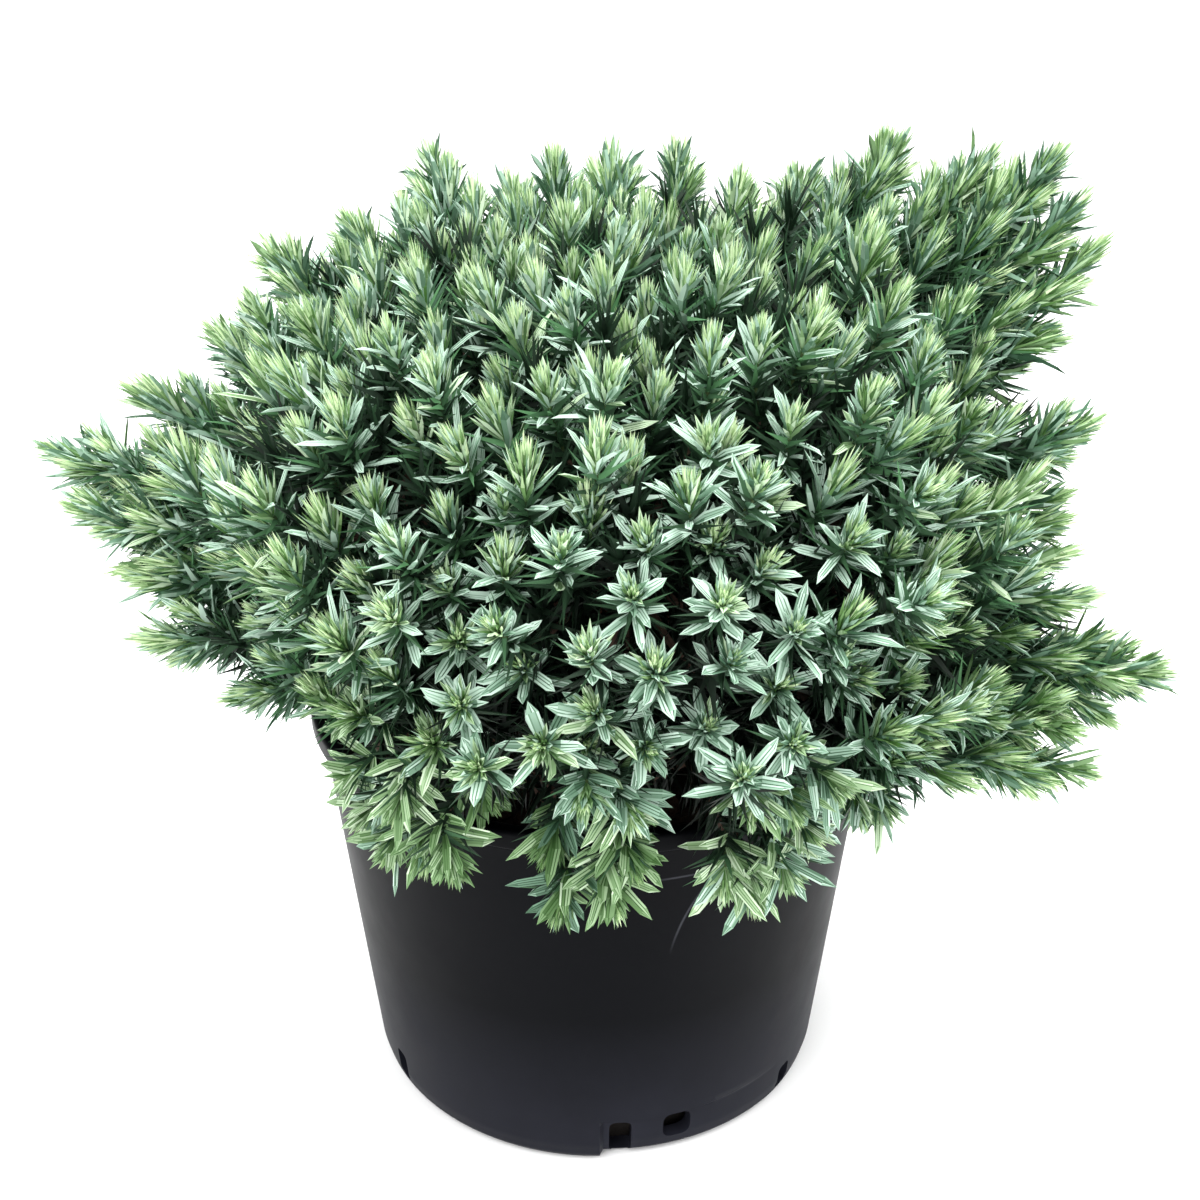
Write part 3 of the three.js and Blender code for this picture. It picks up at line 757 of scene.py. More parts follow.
def blade_outline(columns, stations, fold, keel, lights, under, foot=-1.0):
    """A grown needle: a channelled blade with a keel below and an uneven edge. Stations are
    (along, width, shift sideways); lights are those of its lengthwise bands above, its own pale
    waxy and green bands with some painted light and shade across its fold, and under is that of
    each side of the keel, one side painted lighter and one darker as painted light and shade.
    The faces at the foot are darker by foot, partly its greener base and partly painted shade in
    the heart of the rosette. A streak breaks at each station."""
    outline = Outline()
    wide = len(columns)
    for v, w, shift in stations:
        outline.points += [(u * w + shift, v, abs(u) * fold * w) for u in columns]
        outline.points.append((shift, v, -keel * w))
    tip = len(outline.points)
    outline.points.append((columns[1] * 0.2, 1, 0))
    step = wide + 1
    for r in range(len(stations)):
        a, b = r * step, (r + 1) * step
        last = r == len(stations) - 1
        extra = foot if r == 0 else 0
        bands = [(c, c + 1, lights[c] + extra) for c in range(wide - 1)]
        bands += [(wide - 1, wide, under[0]), (wide, 0, under[1])]
        for streak, (first, second, light) in enumerate(bands, r * len(bands)):
            if last:
                outline.triangle((a + first, a + second, tip), light, streak)
            else:
                outline.quad(a + first, a + second, b + second, b + first, light, streak)
    for c in range(wide - 1):
        outline.triangle((wide, c + 1, c), under[0])
    return outline.done()


def spindle_outline(stations, sides, lights):
    """A young needle: a slim spindle. Stations are (along, radius)."""
    outline = Outline()
    for v, radius in stations:
        for k in range(sides):
            turn = 2 * math.pi * k / sides + math.pi / 2
            outline.points.append((radius * math.cos(turn), v, radius * math.sin(turn)))
    outline.points.append((0, 1, 0))
    outline.tube(sides, lights)
    return outline.done()


# Steps of each needle colour, from the needle's own bands and from painted light and shade.
SHADES = 6


def place_copies(outline, rng, streaky, roots, along, faceup, lengths, widths, curls,
                 leans, shade, palette):
    """Copies of an outline, each rooted at a point and running along a direction with its upper
    side to another, curled upwards and leaning sideways. A copy is painted lighter or darker by
    its shade, as painted light and shade, and each of its streaks by a little more, on one of
    the palettes."""
    across = unit(np.cross(faceup, along))
    up = np.cross(along, across)
    x, v, deep = outline.points.T
    bent = curls[:, None] * v[None] ** 2
    lean = leans[:, None] * v[None] ** 2
    points = (
        roots[:, None]
        + across[:, None] * (x[None] * widths[:, None] + lean * lengths[:, None])[..., None]
        + along[:, None] * ((v[None] - 0.35 * bent ** 2) * lengths[:, None])[..., None]
        + up[:, None] * (deep[None] * widths[:, None] + bent * lengths[:, None])[..., None]
    )
    streaks = rng.normal(0, streaky, (len(roots), outline.streak.max() + 1))
    light = outline.light[None] + shade[:, None] + streaks[:, outline.streak]
    finish = np.clip(np.round(light), 0, SHADES - 1).astype(int) + palette[:, None] * SHADES
    return points, outline.faces, finish


def deal_out(outlines, ranks, rng, streaky, *values):
    """Copies that take the outlines in turn by their ranks."""
    for k, outline in enumerate(outlines):
        own = ranks % len(outlines) == k
        yield place_copies(outline, rng, streaky, *(value[own] for value in values))


def clear_copies(batches):
    """Leaves out the copies that enter the pot or the heart of the crown."""
    for points, faces, finish in batches:
        outside = np.linalg.norm(points - CROWN_MIDDLE, axis=2) > HEART
        clear = (clear_of_pot(points) & outside).all(1)
        yield points[clear], faces, finish[clear]


def join(batches):
    """The points, triangles and material numbers of one mesh from batches of copies."""
    all_points, all_faces, all_finish, start = [], [], [], 0
    for points, faces, finish in batches:
        count, size = points.shape[:2]
        starts = np.arange(count) * size + start
        all_points.append(points.reshape(-1, 3))
        all_faces.append((faces[None] + starts[:, None, None]).reshape(-1, 3))
        all_finish.append(np.broadcast_to(finish, (count, len(faces))).reshape(-1))
        start += count * size
    return np.vstack(all_points), np.vstack(all_faces), np.concatenate(all_finish)


BLADES = (
    blade_outline(
        (-0.5, -0.33, -0.23, -0.07, 0.03, 0.2, 0.3, 0.5),
        ((0, 0.4, 0), (0.38, 0.96, 0.05), (0.8, 0.8, -0.05)),
        0.28, 0.2, (4.2, 2.0, 3.7, 1.5, 3.9, 2.2, 4.4), (3.3, 1.3),
    ),
    blade_outline(
        (-0.5, -0.36, -0.28, -0.1, 0.0, 0.14, 0.24, 0.5),
        ((0, 0.4, 0), (0.44, 1.02, -0.04), (0.82, 0.72, 0.06)),
        0.34, 0.22, (3.8, 1.7, 4.2, 2.1, 3.5, 1.5, 4.5), (1.5, 3.1),
    ),
    blade_outline(
        (-0.5, -0.3, -0.2, -0.02, 0.07, 0.22, 0.33, 0.5),
        ((0, 0.4, 0), (0.34, 0.86, 0.03), (0.76, 0.9, -0.03)),
        0.24, 0.2, (4.5, 2.1, 3.8, 1.6, 4.2, 1.9, 3.7), (3.0, 1.2),
    ),
)
HALF_GROWN = (
    blade_outline((-0.5, -0.16, 0.04, 0.5), ((0, 0.4, 0), (0.6, 0.95, 0.05)),
                  0.4, 0.3, (3.2, 0.9, 4.0), (3.5, 1.0), -0.8),
    blade_outline((-0.5, -0.02, 0.18, 0.5), ((0, 0.4, 0), (0.66, 0.88, -0.05)),
                  0.4, 0.3, (4.2, 1.1, 3.0), (1.2, 3.7), -0.8),
)
# Young needles are darker at the foot and paler at the tip: partly their own colour, partly
# painted shade deep in the tuft and painted light at its top.
YOUNG = (
    spindle_outline(((0, 0.26), (0.55, 0.5)), 3, (-1.2, 1.0)),
    spindle_outline(((0, 0.45),), 3, (0,)),
)
OLD = spindle_outline(((0, 0.5),), 3, (0,))


def fan(axes, rolls, angles):
    """Directions that lean out from axes by angles, turned round them by rolls, and the
    ways that their upper sides face, which is to the axes' tips."""
    first, _ = sideways(axes, rolls)
    c, s = np.cos(angles)[:, None], np.sin(angles)[:, None]
    return c * axes + s * first, s * axes - c * first


def around(shoots, index, rolls, angles):
    """The same for copies that belong to shoots, with their upper sides to the light on
    shoots that hang."""
    along, faceup = fan(shoots.axes[index], rolls + shoots.roll[index], angles)
    to_light = UP + shoots.towards[index]
    return along, np.where(shoots.hung[index, None], to_light, faceup)


# ------------------------------------------------------------------ finishes
def ramp(dark, light):
    """Plain colours from a dark to a light one, a little quicker at the dark end."""
    dark, light = np.array(dark), np.array(light)
    return [
        tuple(dark ** (1 - t) * light ** t) for t in np.linspace(0, 1, SHADES)
    ]


def needle_materials(*kinds):
    """For each kind, one plain material for each shade from its keel to its bloom: its own green
    and pale waxy bands, and lighter and darker copies of them for painted light and shade. A
    needle's green is waxy and a little glossy. The bloom on it is matt."""
    made = []
    for name, dark, light in kinds:
        for k, shade in enumerate(ramp(tuple(dark), tuple(light))):
            roughness = 0.46 + 0.04 * k
            made.append(new_material(f"{name}_{k + 1}", shade, roughness, 0.3, 1.45)[0])
    return made


# ------------------------------------------------------------------ foliage operators
def per_shoot(shoots, count):
    """For a number of copies on each shoot: their shoots' numbers and their ranks. The
    number is one for all shoots or one for each."""
    counts = np.broadcast_to(count, len(shoots.tips))
    starts = np.cumsum(counts) - counts
    index = np.repeat(np.arange(len(counts)), counts)
    return index, np.arange(counts.sum()) - starts[index]


def dress_masses(kind, slot, materials, batches_of):
    """Makes one piece of one kind for each mass."""
    for shoots in crown():
        name = shoots.name
        piece = joined_mesh(f"{kind}_{name}", batches_of(shoots), materials)
        hand_over(piece, slot, f"mass_{name}")


def grown_needles(shoots):
    """The rosette of broad needles round the end of each shoot."""
    settings = bpy.context.scene.juniper_needles
    rng = shoots.rng(1)
    counts = settings.blades * (0.64 + 0.36 * shoots.plume + 0.4 * shoots.hung)
    counts = np.round(counts).astype(int)
    index, rank = per_shoot(shoots, counts)
    size = len(index)
    vary = partial(rng.uniform, size=size)
    low = 1 - rank / (counts[index] - 1)
    vigour = shoots.vigour[index]
    depth = shoots.height(settings)[index] + vigour * MM * shoots.plumed(
        index, 5 * low - 1, 20 * low - 4
    )
    angles = np.radians(vary(-12, 12) + shoots.plumed(
        index, 52 + 32 * low, 28 + 26 * low
    ))
    rolls = rank * GOLDEN_ANGLE + vary(-0.4, 0.4)
    along, faceup = around(shoots, index, rolls, angles)
    faceup = faceup + np.cross(along, faceup) * vary(-0.5, 0.5)[:, None]
    roots = shoots.below_tip(index, depth)
    lengths = settings.blade_length * vigour * vary(0.66, 1.16)
    lengths *= shoots.plumed(index, 0.97, 1.06)
    widths = settings.blade_width * vary(0.75, 1.1)
    widths *= shoots.plumed(index, 1.06, 0.68)
    curls = vary(-0.3, 0.12)
    leans = vary(-0.16, 0.16)
    shade = shoots.shade[index] + vary(-0.5, 0.5)
    palette = (vary(0, 1) < shoots.warm[index] ** 2).astype(int)
    return clear_copies(deal_out(
        BLADES, np.arange(size), rng, 0.8,
        roots, along, faceup, lengths, widths, curls, leans, shade, palette,
    ))


def half_grown_needles(shoots, rng):
    """Narrower needles that stand up round the tuft."""
    settings = bpy.context.scene.juniper_needles
    count = settings.half_grown
    index, rank = per_shoot(shoots, count)
    size = len(index)
    vary = partial(rng.uniform, size=size)
    high = rank / (count - 1)
    height = shoots.height(settings)[index]
    angles = np.radians(vary(-7, 7) + shoots.plumed(
        index, 52 - 22 * high, 31 - 15 * high
    ))
    rolls = rank * GOLDEN_ANGLE + 0.6 + vary(-0.3, 0.3)
    along, faceup = around(shoots, index, rolls, angles)
    roots = shoots.below_tip(index, height * (1 - 0.25 * high))
    lengths = height * 0.35 + 6.5 * MM * vary(0.7, 1.15)
    widths = settings.half_grown_width * vary(0.75, 1.15)
    curls = vary(-0.08, 0.16)
    leans = vary(-0.1, 0.1)
    shade = shoots.shade[index] + vary(-0.4, 0.6)
    warm = shoots.warm[index] + 0.3 * shoots.youth[index] + 0.25 * high
    palette = (vary(0, 1) < warm).astype(int)
    yield from deal_out(
        HALF_GROWN, np.arange(size), rng, 0.6,
        roots, along, faceup, lengths, widths, curls, leans, shade, palette,
    )


def young_needles(shoots, rng):
    """The brush of fine needles, whose tips end at nearly one height."""
    settings = bpy.context.scene.juniper_needles
    count = settings.tuft_needles
    index, rank = per_shoot(shoots, count)
    size = len(index)
    vary = partial(rng.uniform, size=size)
    high = rank / (count - 1)
    height = shoots.height(settings)[index]
    wide = shoots.plumed(index, 28, 20)
    angles = np.radians(wide * (1 - high) ** 0.8 + 2 + vary(-4, 4))
    rolls = rank * GOLDEN_ANGLE + vary(-0.4, 0.4)
    along, faceup = around(shoots, index, rolls, angles)
    depth = height * (1 - 0.34 * high)
    roots = shoots.below_tip(index, depth)
    ends = height * (0.3 * (1 - high) ** 1.2 + vary(0, 0.16))
    lengths = (depth - ends) / np.cos(angles)
    widths = settings.young_width * vary(0.75, 1.25)
    # Painted light and shade: the inner, upright needles are painted lighter than the outer
    # ones, and about a third are painted much darker, as painted shade between the needles.
    shade = 1.6 + 2.7 * high + shoots.shade[index] + vary(-1.2, 1.2)
    shade -= np.where(vary(0, 1) < 0.36, 2.4, 0)
    blue = vary(0, 1) < 0.08 + 0.4 * (1 - high) * (1 - shoots.warm[index])
    palette = np.where(blue, 0, 2)
    curls = vary(0, 0.1)
    leans = vary(-0.05, 0.05)
    yield from deal_out(
        YOUNG, rank, rng, 0.0,
        roots, along, faceup, lengths, widths, curls, leans, shade, palette,
    )


def young_tufts(shoots):
    """The half-grown needles and the brush of young ones in each rosette."""
    rng = shoots.rng(2)
    yield from clear_copies(half_grown_needles(shoots, rng))
    yield from clear_copies(young_needles(shoots, rng))


def needles_on_twigs(shoots, rng):
    """Needles that clothe the outer part of each twig."""
    settings = bpy.context.scene.juniper_needles
    steps = 60
    paths = twig_paths(shoots, steps + 1)
    long = np.linalg.norm(np.diff(paths, axis=1), axis=2).sum(1)
    run = np.minimum(long, np.where(shoots.long, 1.7, 1) * settings.old_run)
    counts = np.round(settings.old_needles * run / settings.old_run).astype(int)
    index, rank = per_shoot(shoots, counts)
    size = len(index)
    vary = partial(rng.uniform, size=size)
    share = rank / counts[index]
    fall = share * (run / long)[index] * (steps - 3) + vary(0, 1)
    station = np.clip(steps - 1 - fall.astype(int), 1, steps - 1)
    tangent = unit(paths[index, station + 1] - paths[index, station - 1])
    rolls = rank * GOLDEN_ANGLE + vary(-0.4, 0.4)
    angles = np.radians(vary(-16, 16) + shoots.plumed(index, 66, 44))
    # Painted shade: needles further down the twig, deeper in the crown, are painted darker, less
    # so where the crown is open to light.
    shade = shoots.plumed(index, 2.6, 4.4) + vary(-1, 1)
    shade -= 4.4 * share * (1 - 0.5 * shoots.open[index])
    lengths = settings.blade_length * vary(0.7, 1.05)
    widths = settings.old_width * vary(0.8, 1.2)
    curls = vary(-0.15, 0.1)
    leans = vary(-0.1, 0.1)
    return place_copies(
        OLD, rng, 0.0, paths[index, station], *fan(tangent, rolls, angles),
        lengths, widths, curls, leans, shade, np.zeros(size, int),
    )


def inner_sprays(shoots, rng):
    """Short shoots that fill the crown below its surface, their needles painted dark as painted
    shade.
    """
    settings = bpy.context.scene.juniper_needles
    spacing = settings.spacing * INNER_SPACING
    towards = spiral_ways(shoots.order, spacing, rng, INNER_BELOW)
    share = rng.uniform(*INNER_SHARE, len(towards))
    places = CROWN_MIDDLE + towards * (reach_at(towards) * share)[:, None]
    axes = growth_axes(towards, rng.uniform(-1, 1, (len(places), 3)))
    count = settings.inner_needles
    index = np.repeat(np.arange(len(places)), count)
    rank = np.tile(np.arange(count), len(places))
    size = len(index)
    vary = partial(rng.uniform, size=size)
    rolls = rank * GOLDEN_ANGLE + vary(-0.5, 0.5)
    angles = np.radians(15 + 80 * rank / count + vary(-10, 10))
    roots = places[index] - axes[index] * (14 * MM * rank / count)[:, None]
    # Painted shade: inner needles are painted near black in the middle of the front and lighter
    # where the crown is open.
    light = 0.5 + 1.7 * (1 - near(towards, *DEEPEST_PAINTED_SHADE))
    shade = light[index] + vary(-1, 1)
    lengths = settings.blade_length * vary(0.8, 1.15)
    widths = settings.inner_width * vary(0.8, 1.2)
    curls = vary(-0.15, 0.15)
    leans = vary(-0.1, 0.1)
    return place_copies(
        OLD, rng, 0.0, roots, *fan(axes[index], rolls, angles),
        lengths, widths, curls, leans, shade, np.zeros(size, int),
    )


def old_needles(shoots):
    """The dark needles on the twigs and inside the crown."""
    rng = shoots.rng(3)
    yield from clear_copies([needles_on_twigs(shoots, rng), inner_sprays(shoots, rng)])


def twigs_and_stem(shoots):
    """A mass's stem from its bough's tip, and the twigs that carry its shoots."""
    paths = twig_paths(shoots, len(TWIG_RADII))
    # The outer three rings are this year's green wood.
    yield tapering_tubes(paths, TWIG_RADII, 5, (0, 0, 0, 0, 1, 1, 1))
    root = CROWN_MIDDLE + MASS_WAYS[shoots.order] * (BOUGH_REACH + BOUGH_GAP)
    if shoots.name == "top":
        root = TRUNK_TOP + UP * BOUGH_GAP
    share = np.linspace(0, 1, len(STEM_RADII))[None, :, None]
    path = root + (shoots.stem_tip - root) * share
    yield tapering_tubes(path, STEM_RADII, 8, (0,) * len(STEM_RADII))


def tapering_tubes(paths, radii, sides, finishes):
    """Closed tubes along paths, each ending in a point, with a radius and a material
    number for each ring."""
    tangent = unit(np.gradient(paths, axis=1))
    helper = unit(np.cross(tangent[:, 0], UP + np.array((0.02, 0.01, 0))))
    first = unit(np.cross(tangent, np.broadcast_to(helper[:, None], paths.shape)))
    second = np.cross(tangent, first)
    turn = np.arange(sides)[:, None] * -2 * math.pi / sides
    ring = first[:, :, None] * np.cos(turn) + second[:, :, None] * np.sin(turn)
    body = paths[:, :, None] + ring * radii[None, :, None, None]
    tip = paths[:, -1:] + tangent[:, -1:] * radii[-1] * 2
    tube = Outline()
    tube.tube(sides, finishes)
    tube.done()
    points = np.concatenate((body.reshape(len(paths), -1, 3), tip), 1)
    return points, tube.faces, tube.light.astype(int)


class OBJECT_OT_juniper_blades(bpy.types.Operator):
    """Make the rosettes of grown, waxy needles"""

    bl_idname = "object.juniper_blades"
    bl_label = "Grown needles"

    def execute(self, context):
        s = context.scene.juniper_needles
        materials = needle_materials(
            ("blue_needle", s.keel, s.bloom), ("green_needle", s.warm_keel, s.warm_bloom)
        )
        dress_masses("grown_needles", "blades", materials, grown_needles)
        return {"FINISHED"}


class OBJECT_OT_juniper_tufts(bpy.types.Operator):
    """Make the young tufts that stand in the rosettes"""

    bl_idname = "object.juniper_tufts"
    bl_label = "Young tufts"

    def execute(self, context):
        s = context.scene.juniper_needles
        materials = needle_materials(
            ("half_grown_blue", s.keel, s.bloom),
            ("half_grown_green", s.warm_keel, s.warm_bloom),
            ("young_needle", s.young, s.tip),
        )
        dress_masses("young_tufts", "tufts", materials, young_tufts)
        return {"FINISHED"}


class OBJECT_OT_juniper_old_needles(bpy.types.Operator):
    """Make the dark needles on the twigs below the rosettes and deeper in the crown"""

    bl_idname = "object.juniper_old_needles"
    bl_label = "Old needles"

    def execute(self, context):
        s = context.scene.juniper_needles
        materials = needle_materials(("shaded_needle", s.shaded, s.old))
        dress_masses("old_needles", "old_needles", materials, old_needles)
        return {"FINISHED"}


class OBJECT_OT_juniper_twigs(bpy.types.Operator):
    """Make the stem of each mass and the twigs that carry its shoots"""

    bl_idname = "object.juniper_twigs"
    bl_label = "Twigs"

    def execute(self, context):
        bark, green = context.scene.juniper_limbs.bark, context.scene.juniper_needles.twig
        materials = [
            new_material("young_twig_bark", tuple(bark), 0.8)[0],
            new_material("green_twig", tuple(green), 0.55)[0],
        ]
        dress_masses("twigs", "bark", materials, twigs_and_stem)
        return {"FINISHED"}


# ------------------------------------------------------------------ trunk and boughs
def flaking_bark():
    """Juniper bark comes off in thin long flakes: grey-brown and matt outside, reddish
    where a flake has gone. They are 2 to 3 mm wide and about 12 mm long."""
    settings = bpy.context.scene.juniper_limbs
    bark, inner = tuple(settings.bark), tuple(settings.inner_bark)
    return grained_material(
        "flaking_juniper_bark", bark, (0.85, 0.3), (1, 1, 0.22), (420, 5, 0.6),
        ((0.38, inner), (0.6, bark)), (0.6, 0.6 * MM),
    )


def smooth_path(points, steps):
    """Points along a smooth line through a few given ones."""
    points = [2 * points[0] - points[1], *points, 2 * points[-1] - points[-2]]
    line = []
    spans = len(points) - 3
    for i in range(steps + 1):
        along = i / steps * spans
        k = min(int(along), spans - 1)
        t = along - k
        a, b, c, d = points[k:k + 4]
        line.append(0.5 * (
            2 * b + (c - a) * t + (2 * a - 5 * b + 4 * c - d) * t ** 2
            + (3 * b - a - 3 * c + d) * t ** 3
        ))
    return np.array(line)


def edit_whole(piece):
    """Opens an object's mesh for editing with all of it selected."""
    select_only(piece)
    bpy.ops.object.mode_set(mode="EDIT")
    bpy.ops.mesh.select_all(action="SELECT")


def close_up(threshold):
    """Welds the open mesh at its seams and poles, turns its faces out and ends editing."""
    bpy.ops.mesh.select_all(action="SELECT")
    bpy.ops.mesh.remove_doubles(threshold=threshold)
    bpy.ops.mesh.normals_make_consistent(inside=False)
    bpy.ops.object.mode_set(mode="OBJECT")


def bark_limb(name, line, radii, sides, flat_foot=False):
    """A tapering limb along a line, with flakes standing off its bark."""
    settings = bpy.context.scene.juniper_limbs
    data = bpy.data.curves.new(name, "CURVE")
    data.dimensions = "3D"
    data.bevel_depth = 1
    data.bevel_resolution = sides
    data.use_fill_caps = True
    spline = data.splines.new("POLY")
    spline.points.add(len(line) - 1)
    for point, place, radius in zip(spline.points, line, radii, strict=True):
        point.co = (*place, 1)
        point.radius = radius
    limb = bpy.data.objects.new(name, data)
    bpy.context.scene.collection.objects.link(limb)
    select_only(limb)
    bpy.ops.object.convert(target="MESH")
    limb = bpy.context.object
    edit_whole(limb)
    close_up(1e-6)
    lowest = line[0][2] + 0.2 * MM if flat_foot else -math.inf
    for vertex in limb.data.vertices:
        place = Vector([part * often for part, often in zip(vertex.co, FLAKES, strict=True)])
        flake = max(-0.6, min(1, noise.fractal(place, 0.8, 2.1, 4)))
        if vertex.co.z > lowest:
            vertex.co += vertex.normal * flake * settings.relief * 0.5
    bpy.ops.object.shade_smooth()
    return limb


def trunk_line(foot, steps):
    """The middle of the trunk from a height up to its top."""
    rise = np.array((1 * MM, 0, bpy.context.scene.juniper_mix.level + 12 * MM))
    return smooth_path([np.array((0, 0, foot)), rise, TRUNK_BEND, TRUNK_TOP], steps)


class OBJECT_OT_juniper_trunk(bpy.types.Operator):
    """Make the short trunk with its root flare and flaking bark"""

    bl_idname = "object.juniper_trunk"
    bl_label = "Trunk"

    def execute(self, context):
        settings = context.scene.juniper_limbs
        line = trunk_line(context.scene.juniper_mix.level + 0.3 * MM, 44)
        along = (line[:, 2] - line[0, 2] + 6 * MM) / (TRUNK_TOP[2] - line[0, 2] + 6 * MM)
        radii = (
            settings.foot_radius + (settings.tip_radius - settings.foot_radius) * along
            + settings.flare * np.exp(-along / 0.1)
        )
        piece = bark_limb("trunk_bark", line, radii, 14, flat_foot=True)
        piece.data.materials.append(flaking_bark())
        hand_over(piece, "bark", "trunk")
        return {"FINISHED"}


class OBJECT_OT_juniper_boughs(bpy.types.Operator):
    """Make the boughs from the trunk to the foot of each mass"""

    bl_idname = "object.juniper_boughs"
    bl_label = "Boughs"

    def execute(self, context):
        settings = context.scene.juniper_limbs
        bark = flaking_bark()
        trunk = trunk_line(context.scene.juniper_mix.level - 6 * MM, 60)
        for order, (name, way) in enumerate(zip(MASS_NAMES, MASS_WAYS, strict=True)):
            if name == "top":
                continue
            height = BOUGH_HEIGHTS[name.split("_")[0]][order % 2] * MM
            root = trunk[np.abs(trunk[:, 2] - height).argmin()]
            outwards = unit(way * np.array((1, 1, 0)))
            end = CROWN_MIDDLE + way * BOUGH_REACH
            line = smooth_path([
                root + outwards * 4 * MM,
                root + outwards * 20 * MM + UP * 4 * MM,
                end - way * 22 * MM + UP * 2 * MM,
                end,
            ], 22)
            radii = np.linspace(settings.bough_root, settings.bough_tip, len(line))
            piece = bark_limb(f"bough_bark_{name}", line, radii, 6)
            piece.data.materials.append(bark)
            hand_over(piece, "bark", f"bough_{name}")
        return {"FINISHED"}


# ------------------------------------------------------------------ pot
def spun(name, points, steps):
    """A closed form from its profile, as points (radius, height) from pole to pole: the
    line is traced point by point and turned once round the Z axis."""
    deselect_all()
    bpy.ops.mesh.primitive_plane_add(size=1 * MM, location=(0, 0, 0))
    piece = bpy.context.object
    piece.name = name
    edit_whole(piece)
    bpy.ops.mesh.merge(type="CENTER")
    bpy.ops.transform.translate(value=(points[0][0], 0, points[0][1]))
    for (r0, z0), (r1, z1) in zip(points, points[1:], strict=False):
        bpy.ops.mesh.extrude_vertices_move(
            TRANSFORM_OT_translate={"value": (r1 - r0, 0, z1 - z0)}
        )
    bpy.ops.mesh.select_all(action="SELECT")
    bpy.ops.mesh.spin(steps=steps, angle=2 * math.pi, center=(0, 0, 0), axis=(0, 0, 1))
    close_up(5e-6)
    return piece


def rounded(corner, before, after, radius, steps=4):
    """The points of a rounded corner of a profile."""
    corner, before, after = (np.array(p, float) for p in (corner, before, after))
    start = corner + unit(before - corner) * radius
    end = corner + unit(after - corner) * radius
    return [
        tuple((1 - t) ** 2 * start + 2 * t * (1 - t) * corner + t * t * end)
        for t in np.linspace(0, 1, steps + 1)
    ]


def distance_to(tree, place, point):
    return add_node(
        tree, "ShaderNodeVectorMath", {0: place, 1: [part * MM for part in point]}, "Value",
        operation="DISTANCE",
    )


def scratch(tree, place, middle, centre, radius, half_length):
    """How strongly one fine arc of a scratch shows, fading out towards its ends."""
    flat = add_node(
        tree, "ShaderNodeVectorMath", {0: place, 1: (1, 0, 1)}, operation="MULTIPLY"
    )
    off = calculate(tree, "SUBTRACT", distance_to(tree, flat, centre), radius * MM)
    near_line = calculate(tree, "ABSOLUTE", off, 0)
    # A scratch is under 0.2 mm wide. It is drawn 0.6 mm wide, so that it shows.
    line = rescale(tree, near_line, 0.6 * MM, 0.1 * MM)
    along = distance_to(tree, place, middle)
    fade = rescale(tree, along, half_length * MM, half_length * 0.2 * MM)
    return calculate(tree, "MULTIPLY", line, fade)


def moulded_polyethylene():
    """Injection-moulded polyethylene made near black: satin, a little mottled where the mould
    was worn, with fine rubbed scratches. It pales towards the foot, partly from splashed soil
    and partly as a painted reflection of the floor, and the set back foot is painted pale too,
    as painted light."""
    settings = bpy.context.scene.juniper_pot
    plastic, dust_and_painted_light, scuff = (
        (*tuple(tint), 1) for tint in (settings.plastic, settings.dust_and_painted_light, settings.scuff)
    )
    material, shader = new_material("moulded_polyethylene", plastic[:3], 0.42, 0.04, 1.51)
    tree = material.node_tree
    place = own_place(tree)
    mottle = add_node(tree, "ShaderNodeTexNoise", {
        "Vector": place, "Scale": 30, "Detail": 6, "Roughness": 0.62,
    }, "Fac")
    z = add_node(tree, "ShaderNodeSeparateXYZ", {"Vector": place}, "Z")
    # Paler towards the foot: partly splashed soil, partly a painted reflection of the pale
    # floor.
    low = rescale(tree, z, 75 * MM, 4 * MM)
    patchy = rescale(tree, mottle, 0.3, 0.7, 0.6, 0.9)
    splash_and_painted_reflection = calculate(tree, "MULTIPLY", low, patchy)
    # The set back foot is painted in the same pale colour, as painted light that shows the
    # recess.
    recess_painted_light = add_node(tree, "ShaderNodeAttribute", {}, "Fac", attribute_name="recess_painted_light")
    dust_and_painted_light_mask = calculate(tree, "MAXIMUM", splash_and_painted_reflection, recess_painted_light)
    dust_and_painted_light_colour = blend_colours(tree, dust_and_painted_light_mask, plastic, dust_and_painted_light)
    marks = calculate(tree, "MAXIMUM", *(scratch(tree, place, *arc) for arc in SCRATCHES))
    scuffed = blend_colours(tree, marks, dust_and_painted_light_colour, scuff)
    rough = rescale(tree, mottle, 0.3, 0.7, 0.38, 0.48)
    bump = add_node(
        tree, "ShaderNodeBump", {"Height": mottle, "Strength": 0.25, "Distance": 0.4 * MM}
    )
    tree.links.new(scuffed, shader.inputs["Base Color"])
    tree.links.new(rough, shader.inputs["Roughness"])
    tree.links.new(bump, shader.inputs["Normal"])
    return material


def cut_away(piece, cutter):
    """Takes one closed form out of another."""
    cut = piece.modifiers.new("cut", "BOOLEAN")
    cut.operation = "DIFFERENCE"
    cut.solver = "EXACT"
    cut.object = cutter
    apply_modifiers(piece)
    bpy.data.objects.remove(cutter)


def drain_cutter(s, degrees, width, low, high):
    """A rounded block that passes through the wall of the foot."""
    turn = math.radians(degrees)
    radius = s.foot_radius - 2 * MM
    deselect_all()
    bpy.ops.mesh.primitive_cube_add(
        size=1,
        location=(radius * math.cos(turn), radius * math.sin(turn), (low + high) / 2 * MM),
        rotation=(0, 0, turn),
    )
    cutter = bpy.context.object
    cutter.scale = (20 * MM, width * MM, (high - low) * MM)
    apply_place(cutter)
    edit_whole(cutter)
    bpy.ops.mesh.bevel(offset=width * 0.3 * MM, segments=3)
    bpy.ops.object.mode_set(mode="OBJECT")
    return cutter


